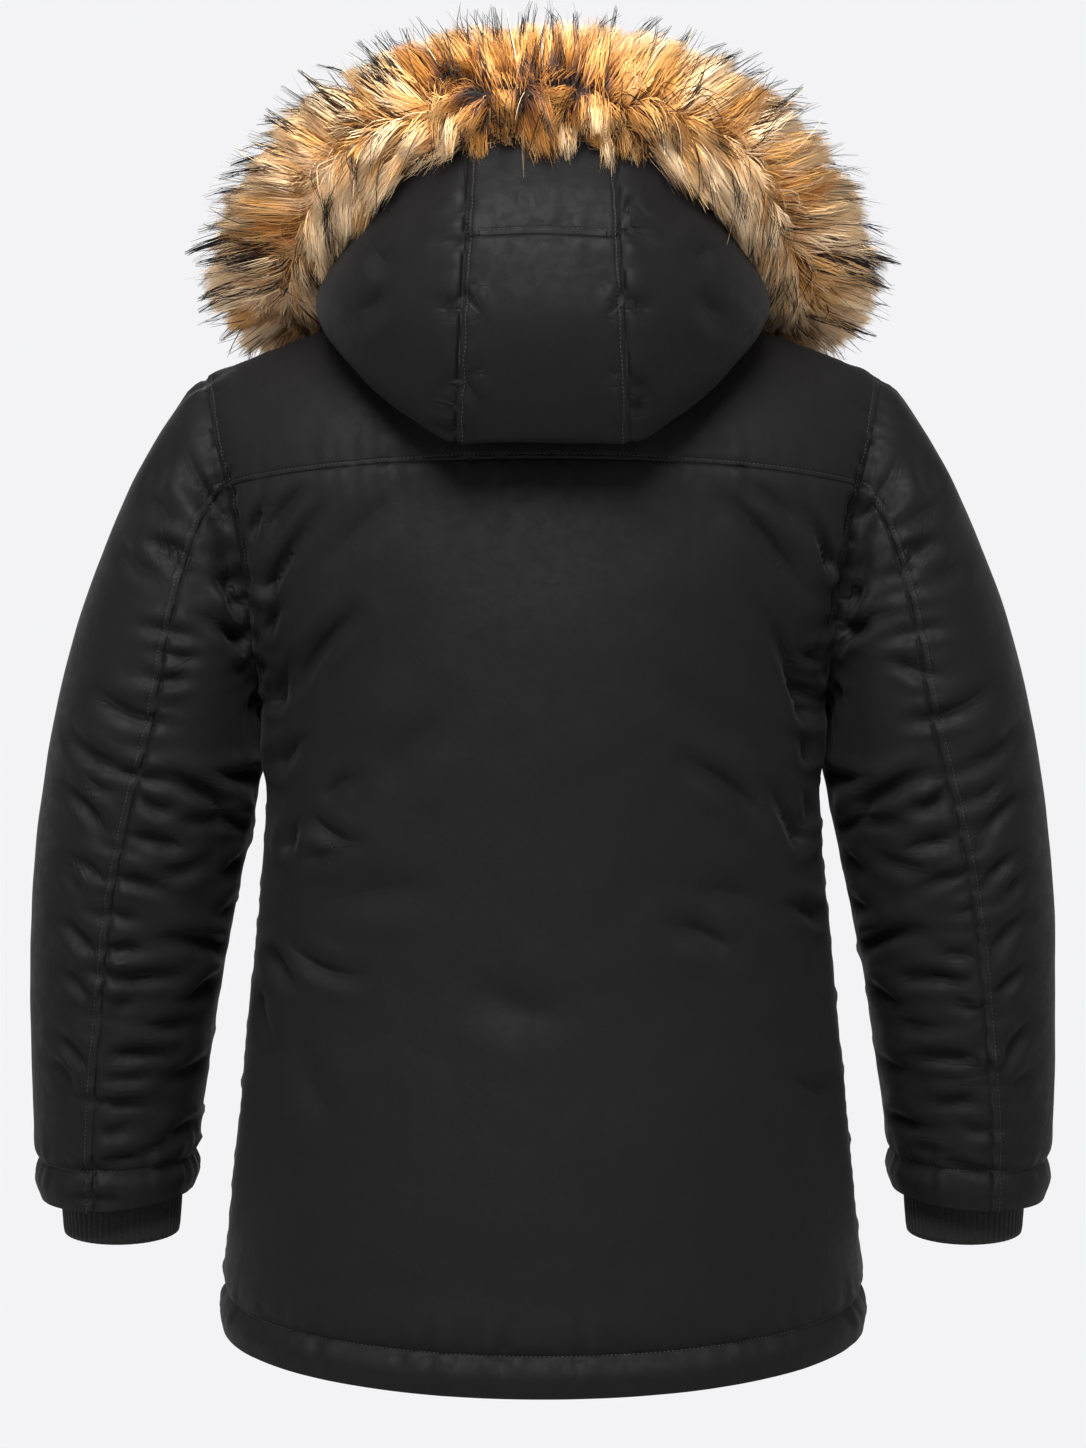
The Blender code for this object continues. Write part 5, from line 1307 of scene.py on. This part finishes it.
def add_cuff(name, flip, finish):
    rings = [cuff_ring(RIB_BOTTOM, 0.0018, 0.2)]
    for share in np.linspace(0, 1, 13):
        z = RIB_BOTTOM - 0.0004 + (RIB_TOP - RIB_BOTTOM) * share
        ease = 0.0011 * math.cos(share * math.pi / 2) ** 6 - 0.0008 * math.sin(share * math.pi)
        rings.append(cuff_ring(z, ease, 1 - 0.5 * (share == 0)))
    low, high = rings[-1], flare_line(FLARE_INWARDS)
    rings += [low + (high - low) * t for t in (0.35, 0.7, 1.0)] + [flare_line(FLARE_INWARDS + RIB_WALL)]
    rings += [cuff_ring(z, RIB_WALL, 0) for z in (RIB_TOP, RIB_BOTTOM + 0.0006)]
    faces = tube_faces(len(rings), RING_COUNT, closed=True)
    if flip[0] < 0:
        faces = [face[::-1] for face in faces]
    return new_object(name, np.concatenate(rings) * flip, faces, finish)

# %% Make both cuffs
knit = rib_knit()
for side, flip in zip(SIDE_NAMES, FLIPS):
    cuff = add_cuff("knit_cuff_" + side, flip, knit)
    hand_over(cuff, "rib_cuff_" + side)
    print(cuff.name, len(cuff.data.polygons), "faces")

# %% [markdown]
# The zip is two woven tapes, each with a row of moulded teeth on its edge. Teeth are one shape, repeated a
# few hundred times along the tape's edge, so they come from the same kind of tree as the stitches. The two
# rows are half a step apart, which is how closed teeth hold each other.

# %% What the zip is made of
def zip_tape_finish():
    material, tree = new_finish("woven_polyester_tape")
    spread = add_node(tree, "ShaderNodeSeparateXYZ", {0: object_place(tree)})
    ribs = thread_wave(tree, spread.outputs["X"], 0.0012)
    picks = thread_wave(tree, spread.outputs["Z"], 0.0009)
    height = sum_of(tree, [times(tree, ribs, 0.00012), times(tree, picks, 0.00006)])
    hue = blend(tree, ribs, colour("#121212"), colour("#1F1E1E"))
    end_finish(tree, {"Base Color": hue, "Roughness": 0.8}, height)
    return material


def zip_tooth_finish():
    """Moulded acetal: a hard satin plastic, with the faint haze that the mould leaves."""
    material, tree = new_finish("moulded_acetal_teeth")
    haze = noise_of(tree, object_place(tree), 900.0, 2.0)
    rough = range_of(tree, haze, 0.0, 1.0, 0.32, 0.5, kind="LINEAR")
    end_finish(tree, {"Base Color": colour("#0E0E0F"), "Roughness": rough, "IOR": 1.48})
    return material


def zip_metal_finish():
    """Die-cast zinc under black enamel: glossy, a little uneven, thinner where hands rub it."""
    material, tree = new_finish("enamelled_zinc")
    rub = noise_of(tree, object_place(tree), 420.0, 4.0)
    rough = range_of(tree, rub, 0.0, 1.0, 0.24, 0.42, kind="LINEAR")
    hue = blend(tree, rub, colour("#151516"), colour("#2A2A2C"))
    look = {"Base Color": hue, "Roughness": rough, "Coat Weight": 0.4}
    end_finish(tree, look, rub, distance=0.00006)
    return material

# %% Tape, teeth and slider
ZIP_TAPE_HALF, ZIP_TAPE_THICK, ZIP_TAPE_INSIDE, ZIP_TAPE_ROUND = 0.014, 0.0012, 0.0007, 0.0004
ZIP_CHAIN_HIGH, ZIP_CHAIN_CLEAR, ZIP_CHAIN_OUT = 0.0035, 0.0002, 0.0009
TOOTH_SPACING, TOOTH_SIZE = 0.0026, (0.0021, 0.0040, 0.0027)
zip_deep = CLOTH + 2 * SEAM_GAP
zip_line = front_fine[:, 0] * np.array([0, 1, 1])
zip_facing = units(final_normals[1][:, 0] * np.array([0, 1, 1]))
zip_run = run_of(zip_line)


def add_tape(name, side, finish):
    """One tape: a thin woven strip with soft edges from the hem to the throat."""
    low, middle, high = zip_deep, zip_deep + ZIP_TAPE_THICK / 2, zip_deep + ZIP_TAPE_THICK
    near, rounded, far = ZIP_TAPE_INSIDE, ZIP_TAPE_HALF - ZIP_TAPE_ROUND, ZIP_TAPE_HALF
    section = [(near, low), (rounded, low), (far, middle), (rounded, high), (near, high)]
    points = np.stack([zip_line + np.array([side * x, 0, 0]) - zip_facing * deep for x, deep in section], 1)
    faces = tube_faces(len(points), len(section))
    faces = faces if side < 0 else [face[::-1] for face in faces]
    return new_object(name, points, faces, finish, smooth=False)


def add_tooth(tree):
    """A tooth: a leg that clamps the tape and a round head that reaches past the middle."""
    leg = add_node(tree, "GeometryNodeMeshCube", {"Size": (0.5, 0.62, 0.8)})
    leg = {"Geometry": leg.outputs["Mesh"], "Translation": (0.0, 0.19, 0.0)}
    leg = add_node(tree, "GeometryNodeTransform", leg)
    head = add_node(tree, "GeometryNodeMeshUVSphere", {"Segments": 8, "Rings": 5, "Radius": 0.5})
    head = {"Geometry": head.outputs["Mesh"], "Translation": (0.0, -0.2, 0.0), "Scale": (0.8, 0.5, 1.0)}
    head = add_node(tree, "GeometryNodeTransform", head)
    both = add_node(tree, "GeometryNodeJoinGeometry")
    for part in (leg, head):
        tree.links.new(part.outputs[0], both.inputs[0])
    return both.outputs[0]


tape_finish, tooth_finish = zip_tape_finish(), zip_tooth_finish()
tooth_tree = row_tree("row_of_teeth", add_tooth)
for side_name, side in zip(SIDE_NAMES, (1, -1)):
    tape = add_tape("zip_tape_" + side_name, side, tape_finish)
    start = 0.003 + (side > 0) * TOOTH_SPACING / 2
    steps = np.arange(start, zip_run[-1] - 0.002, TOOTH_SPACING)
    facing = units(between(steps, zip_run, zip_facing))
    line = between(steps, zip_run, zip_line) + np.array([side * ZIP_CHAIN_OUT, 0, 0])
    line = line - facing * (zip_deep - ZIP_CHAIN_HIGH / 2 + ZIP_CHAIN_CLEAR)
    if side > 0:  # the head lies on the path's right hand
        line, facing = line[::-1], facing[::-1]
    values = {"Spacing": TOOTH_SPACING, "Size": TOOTH_SIZE, "Finish": tooth_finish}
    teeth = grow("zip_teeth_" + side_name, line, [len(line)], {"facing": facing}, tooth_tree, values)
    for piece in (tape, teeth):
        hand_over(piece, "zip_tape")
    print(teeth.name, len(steps), "teeth")

zip_metal = zip_metal_finish()
for name in ("zip_slider", "zip_pull"):
    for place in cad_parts[name].material_slots:
        place.material = zip_metal

# %% [markdown]
# The fur is dyed raccoon style pile on a strip of skin. Dense woolly underfur makes its volume, and longer
# and stiffer guard hairs with black tips stand out of it. It is combed away from a parting along the middle
# of the strip, outwards on one half and down over the hood on the other, and it gathers in pointed tufts.
# Hair curves would be lost on export, so each hair is a narrow ribbon: the paths are worked out here, and a
# Geometry Nodes tree gives them their width, their way of facing and their taper.

# %% The strip the fur grows on
FUR_TURNS = np.linspace(0, 1, 161)
FUR_MIDDLE, FUR_AWAY, FUR_ROUND, FUR_REACH, FUR_THICK = map(np.array, zip(*map(ruff_frame, FUR_TURNS)))
FUR_AHEAD = np.cross(FUR_AWAY, FUR_ROUND)
FUR_RUN = run_of(FUR_MIDDLE)
FUR_LONG = FUR_RUN[-1]
ROOT_IN, ROOT_SIZE = 0.30, 0.42  # the skin lies towards the hood, and is this share of the fur's size
KNEE_IN, KNEE_LIFT = 0.10, 0.96
COMB_TURN = math.radians(46)  # how far hairs are combed away from the parting
GIRTH = 0.035  # metres round the strip for each radian
FRONT_FROM, FRONT_FADE, FRONT_AWAY = 0.52, 0.12, 0.55  # there the strip lies close on the hood's wall
DRAPE, DRAPE_MORE, DRAPE_MIDDLE, DRAPE_LONG, DRAPE_BACK = 0.0085, 0.0035, 0.07, 0.085, 0.0050
print("fur strip:", round(2 * FUR_LONG, 3), "m")

# %% One hair
def wrapped(turn):
    """An angle between half a turn back and half a turn on."""
    return (turn + math.pi) % (2 * math.pi) - math.pi


def along_fur(run, layer):
    return np.interp(run, FUR_RUN, layer) if layer.ndim == 1 else between(run, FUR_RUN, layer)


def strand(run, turn, long, lean, comb):
    """Root, knee and tip of hairs. Turn is round the strip: 0 away from the hood, -90 degrees behind."""
    layers = FUR_MIDDLE, FUR_AWAY, FUR_ROUND, FUR_AHEAD, FUR_REACH, FUR_THICK
    middle, away, ring, ahead, reach, thick = (along_fur(run, layer) for layer in layers)
    past = np.abs(turn) - math.pi / 2
    angle = np.abs(turn) + comb * np.sign(past) * COMB_TURN * (1 - np.abs(past) / (math.pi / 2))
    angle = np.sign(turn) * angle

    def on_oval(turned, size, slide):
        size, slide = np.asarray(size)[..., None], np.asarray(slide)[..., None]
        wide = away * (reach * np.cos(turned))[:, None] + ring * (thick * np.sin(turned))[:, None]
        return wide * size + ahead * slide

    root = middle - away * (ROOT_IN * reach)[:, None] + on_oval(turn, ROOT_SIZE, 0 * lean)
    half_combed = turn * 0.7 + angle * 0.3
    knee = middle - away * (KNEE_IN * reach)[:, None] + on_oval(half_combed, KNEE_LIFT, lean * 0.35)
    tip = middle + on_oval(angle, long, lean)
    inwards = np.clip((np.abs(angle) - 2.0) / 0.6, 0, 1) * (turn < 0)
    in_front = np.clip((run / FUR_LONG - FRONT_FROM) / FRONT_FADE, 0, 1)
    tip = tip + away * (FRONT_AWAY * inwards * in_front * reach)[:, None]
    over = np.clip((np.abs(angle) - 2.3) / 0.5, 0, 1) * (turn < 0)  # these fall past the strip, over the hood
    over = over * (1 - in_front)
    fall = over * (DRAPE + DRAPE_MORE * bell(run / DRAPE_MIDDLE) + DRAPE_LONG * (long - 0.95))
    tip = tip - away * fall[:, None] - ring * (DRAPE_BACK * over)[:, None]
    return root, knee, tip


def bend(root, knee, tip, share):
    """Points on the smooth curve from root by way of knee to tip."""
    t = share[None, :, None]
    return root[:, None] * (1 - t) ** 2 + knee[:, None] * 2 * t * (1 - t) + tip[:, None] * t**2

# %% Tufts
Tufts = namedtuple("Tufts", "run turn chance")


def tuft_grid(seed, cell, rings):
    """Tuft middles on a jittered grid over the strip, and five random numbers of each."""
    dice = np.random.default_rng(seed)
    columns = int(FUR_LONG / cell) + 1
    run = (np.arange(columns)[:, None] + dice.uniform(0.1, 0.9, (columns, rings))) * FUR_LONG / columns
    turn = (np.arange(rings)[None, :] + dice.uniform(0.12, 0.88, (columns, rings))) * 2 * math.pi / rings
    return Tufts(run, turn - math.pi, dice.normal(0, 1, (5, columns, rings)))


def nearest_tuft(run, turn, tufts):
    """For each hair, the number of the tuft it leans to. A hair never leans over the parting."""
    columns, rings = tufts.run.shape
    i = np.clip((run / FUR_LONG * columns).astype(int), 0, columns - 1)
    j = np.clip(((turn + math.pi) / (2 * math.pi) * rings).astype(int), 0, rings - 1)
    best, least = i * rings + j, np.full(len(run), 1e9)
    for di in (-1, 0, 1):
        for dj in (-1, 0, 1):
            ni, nj = np.clip(i + di, 0, columns - 1), (j + dj) % rings
            tuft_turn = tufts.turn[ni, nj]
            far = (tufts.run[ni, nj] - run) ** 2 + (wrapped(tuft_turn - turn) * GIRTH) ** 2
            far = far + 1.0 * (np.sign(np.cos(tuft_turn)) != np.sign(np.cos(turn)))
            best, least = np.where(far < least, ni * rings + nj, best), np.minimum(least, far)
    return best

# %% Colours of the fur, on a scale from 0, black, to 1, cream
DARK_PATCHES = table(
    "Patch", "x z radius",
    (-0.143, 0.114, 0.012), (-0.193, 0.031, 0.013), (-0.118, 0.128, 0.007), (0.2025, 0.048, 0.011),
    (0.181, 0.034, 0.008), (0.0925, 0.118, 0.009), (0.126, 0.111, 0.010), (-0.066, 0.112, 0.006),
)


def streaks(run, turn, side):
    """Slow bands of lighter and darker fur along the strip."""
    a = np.sin(run * 71 + side * 1.3 + 1.1 * np.sin(turn * 2)) + 0.7 * np.sin(run * 133 - turn * 1.7 + side)
    return 0.5 * a + 0.35 * np.sin(run * 261 + turn * 3.1)


def fur_tone(run, turn, side, root):
    behind, past = turn < 0, np.abs(turn) - math.pi / 2
    tone = 0.78 + 0.08 * streaks(run, turn, side) - 0.12 * bell(past / math.radians(30))
    tone = tone + 0.20 * np.clip(run / 0.22, 0, 1)
    rust = bell(run / 0.060) * bell(past / np.where(past > 0, 1.5, 0.42))
    dark = np.zeros(len(run))
    for patch in DARK_PATCHES:
        far = ((root[:, 0] - patch.x) ** 2 + (root[:, 2] - patch.z) ** 2) / patch.radius**2
        dark = np.maximum(dark, np.exp(-far) * behind)
    return tone, dark, rust * behind

# %% The tree that makes ribbons of hair
def fur_tree():
    kinds = {"Widest": "NodeSocketFloat", "Finish": "NodeSocketMaterial"}
    tree, given, out = new_tree("ribbons_of_hair", kinds)
    path = add_node(tree, "GeometryNodeMeshToCurve", {"Mesh": given.outputs["Geometry"]})
    width = times(tree, field_of(tree, "taper", "FLOAT"), given.outputs["Widest"])
    normal = {"Curve": path.outputs[0], "Normal": field_of(tree, "facing", "FLOAT_VECTOR")}
    normal = add_node(tree, "GeometryNodeSetCurveNormal", normal, mode="FREE")
    line = {"Start": (0.0, -0.5, 0.0), "End": (0.0, 0.5, 0.0)}
    line = add_node(tree, "GeometryNodeCurvePrimitiveLine", line)
    sockets = {"Curve": normal.outputs[0], "Profile Curve": line.outputs[0], "Scale": width}
    return end_tree(tree, add_node(tree, "GeometryNodeCurveToMesh", sockets), given, out)

# %% What fur looks like
TONES = {0.0: "#0B0807", 0.16: "#28160B", 0.34: "#643813", 0.52: "#AC7030", 0.74: "#D9A35F", 1.0: "#F7D8AE"}


def fur_finish():
    """Modacrylic pile: each hair is smooth and a little shiny, and its colour changes from root to tip."""
    material, tree = new_finish("modacrylic_fur_pile")
    tone = add_node(tree, "ShaderNodeAttribute", attribute_name="tone").outputs["Fac"]
    ramp = add_node(tree, "ShaderNodeValToRGB", {"Fac": tone})
    while len(ramp.color_ramp.elements) < len(TONES):
        ramp.color_ramp.elements.new(0.5)
    for stop, (place, shade) in zip(ramp.color_ramp.elements, TONES.items()):
        stop.position, stop.color = place, colour(shade)
    end_finish(tree, {"Base Color": ramp.outputs["Color"], "Roughness": 0.6, "Specular IOR Level": 0.25})
    return material

# %% Hair by hair
LAYERS = table(
    "Layer", "name hairs steps width long guard seed",
    ("underfur_a", 27000, 3, 0.00058, 0.99, False, 11),
    ("underfur_b", 15500, 3, 0.00110, 0.91, False, 13),
    ("guard_hair", 2000, 5, 0.00062, 1.24, True, 12),
)
BROAD_TUFT, FINE_TUFT, SPIKE = (0.0190, 12), (0.0065, 26), (0.0110, 18)
DARK_SHARE, CREAM_SHARE, SPIKE_SHARE, BEHIND_SHARE = 0.8, 0.07, 0.62, 0.2
FINE_HOLD, BROAD_HOLD, GUARD_FINE_HOLD, GUARD_BROAD_HOLD = 0.5, 0.55, 0.9, 0.15


def combed(run, turn, chance, long, spread, loose, share):
    """The points of hairs that stand at certain places, and their roots."""
    end_lean = 0.012 * np.clip((run - FUR_LONG + 0.03) / 0.03, 0, 1)
    past = np.abs(wrapped(turn)) - math.pi / 2
    fall = 0.028 + 0.014 * np.clip(-past, 0, 1)
    fall = fall * np.clip(run / 0.13, 0, 1) * np.clip((FUR_LONG - run) / 0.07, 0.3, 1)
    lean = loose * 0.006 * chance[1] + end_lean + fall + 0.004 * np.sin(run * 37 + turn)
    comb = (0.85 + 0.22 * chance[3]).clip(0.1, 1.25)
    ends = strand(run, turn + loose * 0.13 * chance[2], long + spread * chance[0], lean, comb)
    return bend(*ends, share), ends[0]

# %% The tones of a hair
def hair_tones(layer, share, dice, tone, dark, rust):
    """The tone of each hair from root to tip."""
    count = layer.hairs
    fibre = tone[:, None] + np.interp(share, [0, 0.25, 0.6, 1], [-0.27, -0.03, 0.05, 0.12])[None, :]
    fibre = fibre - 0.55 * rust[:, None] * (1 - 0.5 * share[None, :])
    dark_hair = dice.uniform(0, 1, count) < DARK_SHARE * dark
    fibre = np.where(dark_hair[:, None], np.minimum(fibre, 0.24 - 0.18 * share[None, :]), fibre)
    if layer.guard:
        cream = dice.uniform(0, 1, count) < CREAM_SHARE
        black = np.interp(share, [0, 0.36, 0.54, 1], [0.50, 0.50, 0.04, 0.0])[None, :]
        fibre = np.where(cream[:, None], 0.93, black)
    return fibre.clip(0, 1)

# %% The hairs of a layer
def fur_paths(layer, side):
    """The points of a layer's hairs on one side, with their facing, tone and taper."""
    dice = np.random.default_rng(layer.seed * 10 + (side > 0))
    count, share = layer.hairs, np.linspace(0, 1, layer.steps + 1) ** 0.9
    flip = np.array([side, 1, 1])
    broad, fine = tuft_grid(21 + (side > 0), *BROAD_TUFT), tuft_grid(24 + (side > 0), *FINE_TUFT)
    run = dice.uniform(0, FUR_LONG, count)
    turn = dice.uniform(-math.pi, math.pi, count)
    turn = np.where(dice.uniform(0, 1, count) < BEHIND_SHARE, -np.abs(turn), turn)
    if layer.guard:
        fine = tuft_grid(27 + (side > 0), *SPIKE)
        spikes = dice.integers(0, fine.run.size, 3 * count)
        edge = np.cos(fine.turn.ravel()[spikes]) > 0.55
        spikes = spikes[fine.chance[4].ravel()[spikes] > np.where(edge, 0.2, 1.2)]
        spikes = spikes[: int(SPIKE_SHARE * count)]
        run[: len(spikes)] = fine.run.ravel()[spikes] + dice.normal(0, 0.0022, len(spikes))
        turn[: len(spikes)] = fine.turn.ravel()[spikes] + dice.normal(0, 0.06, len(spikes))
        run, turn = run.clip(0, FUR_LONG), wrapped(turn)
        turn = np.where(np.cos(turn) < -0.55, turn * 0.7, turn)
    in_broad, in_fine = nearest_tuft(run, turn, broad), nearest_tuft(run, turn, fine)

    points, root = combed(run, turn, dice.normal(0, 1, (4, count)), layer.long, 0.07, 1.0, share)
    holds = (GUARD_FINE_HOLD, GUARD_BROAD_HOLD) if layer.guard else (FINE_HOLD, BROAD_HOLD)
    for tufts, chosen, hold in zip((fine, broad), (in_fine, in_broad), holds):
        chance = tufts.chance.reshape(5, -1)
        leader, _ = combed(tufts.run.ravel(), tufts.turn.ravel(), chance, layer.long, 0.09, 1.7, share)
        beside = points - leader[chosen]
        pull = (hold * dice.uniform(0.7, 1.15, (count, 1, 1))).clip(0, 0.97) * share[None, :, None]
        points = points * (1 - pull) + leader[chosen] * pull
    points = points + dice.normal(0, 1, (count, 1, 3)) * np.sin(share * 7.0)[None, :, None] * 0.0005

    # Colour: a tuft is pale down its middle and darker at its sides, partly from the darker roots of its
    # neighbours and partly as painted shade between the tufts.
    tone, dark, rust = fur_tone(run, turn, side, root * flip)
    gap = wrapped(broad.turn.ravel()[in_broad] - turn)
    off = np.hypot(broad.run.ravel()[in_broad] - run, gap * GIRTH) / (0.6 * BROAD_TUFT[0])
    tone = tone + 0.10 - 0.20 * off.clip(0, 1.5) ** 1.5 + 0.09 * broad.chance[4].ravel()[in_broad]
    tone = tone + 0.05 * fine.chance[3].ravel()[in_fine] + dice.normal(0, 0.035, count)
    tones = hair_tones(layer, share, dice, tone, dark, rust)
    middle, away, reach = (along_fur(run, part) for part in (FUR_MIDDLE, FUR_AWAY, FUR_REACH))
    middle = middle - away * (ROOT_IN * reach)[:, None]
    beside = beside / np.maximum(lengths(beside)[..., None], 0.008)
    facing = units(points - middle[:, None, :]) + 0.6 * beside + dice.normal(0, 0.05, (count, 1, 3))
    widths = [0.8, 1.0, 0.9, 0.35] if layer.guard else [0.8, 1.0, 0.62, 0.14]
    taper = np.interp(share, [0, 0.3, 0.75, 1], widths)[None, :] * dice.uniform(0.7, 1.3, (count, 1))
    fields = {"facing": units((facing * flip).reshape(-1, 3)), "tone": tones.ravel(), "taper": taper.ravel()}
    return (points * flip).reshape(-1, 3), fields

# %% Grow the fur
pile, hair_tree = fur_finish(), fur_tree()
for layer in LAYERS:
    for side_name, side in zip(SIDE_NAMES, (1, -1)):
        points, fields = fur_paths(layer, side)
        values = {"Widest": layer.width, "Finish": pile}
        counts = [layer.steps + 1] * layer.hairs
        hair = grow(f"{layer.name}_{side_name}", points, counts, fields, hair_tree, values)
        outward = np.empty(len(hair.data.vertices) * 3, np.float32)
        hair.data.attributes["facing"].data.foreach_get("vector", outward)
        hair.data.normals_split_custom_set_from_vertices(outward.reshape(-1, 3).tolist())
        hand_over(hair, "fur_ruff")
        print(hair.name, len(hair.data.polygons) * 2, "triangles")

# %% The skin under the pile
SKIN_SIZE, SKIN_FLAT, SKIN_COUNT, SKIN_STEP, SKIN_TONE = 0.58, 0.62, 24, 4, 0.17


def add_skin():
    """The closed strip that the hair grows from, which also closes the view between the hairs."""
    turns = 2 * math.pi * np.arange(SKIN_COUNT) / SKIN_COUNT
    rings = []
    last_turn = len(FUR_TURNS) - 1
    for side, order in ((-1, range(last_turn, 0, -SKIN_STEP)), (1, range(0, last_turn + 1, SKIN_STEP))):
        for i in order:
            middle = FUR_MIDDLE[i] - FUR_AWAY[i] * ROOT_IN * 1.3 * FUR_REACH[i]
            wide = np.outer(np.cos(turns), FUR_AWAY[i]) * FUR_REACH[i]
            wide = wide + np.outer(np.sin(turns), FUR_ROUND[i]) * FUR_THICK[i] * SKIN_FLAT
            rings.append((middle + wide * SKIN_SIZE) * np.array([side, 1, 1]))
    faces = tube_faces(len(rings), SKIN_COUNT)
    faces = [face[:1] + face[:0:-1] if len(face) == 4 else face[::-1] for face in faces]
    item = new_object("fur_skin", rings, faces, pile)
    keep_field(item.data, "tone", np.full(len(item.data.vertices), SKIN_TONE))
    box = bmesh.new()
    box.from_mesh(item.data)
    bmesh.ops.recalc_face_normals(box, faces=box.faces)
    box.to_mesh(item.data)
    box.free()
    return item


skin = add_skin()
hand_over(skin, "fur_ruff")
print(skin.name, len(skin.data.polygons), "faces")

# %% [markdown]
# The last step brings the scene up to date.

# %% Last update
bpy.context.view_layer.update()
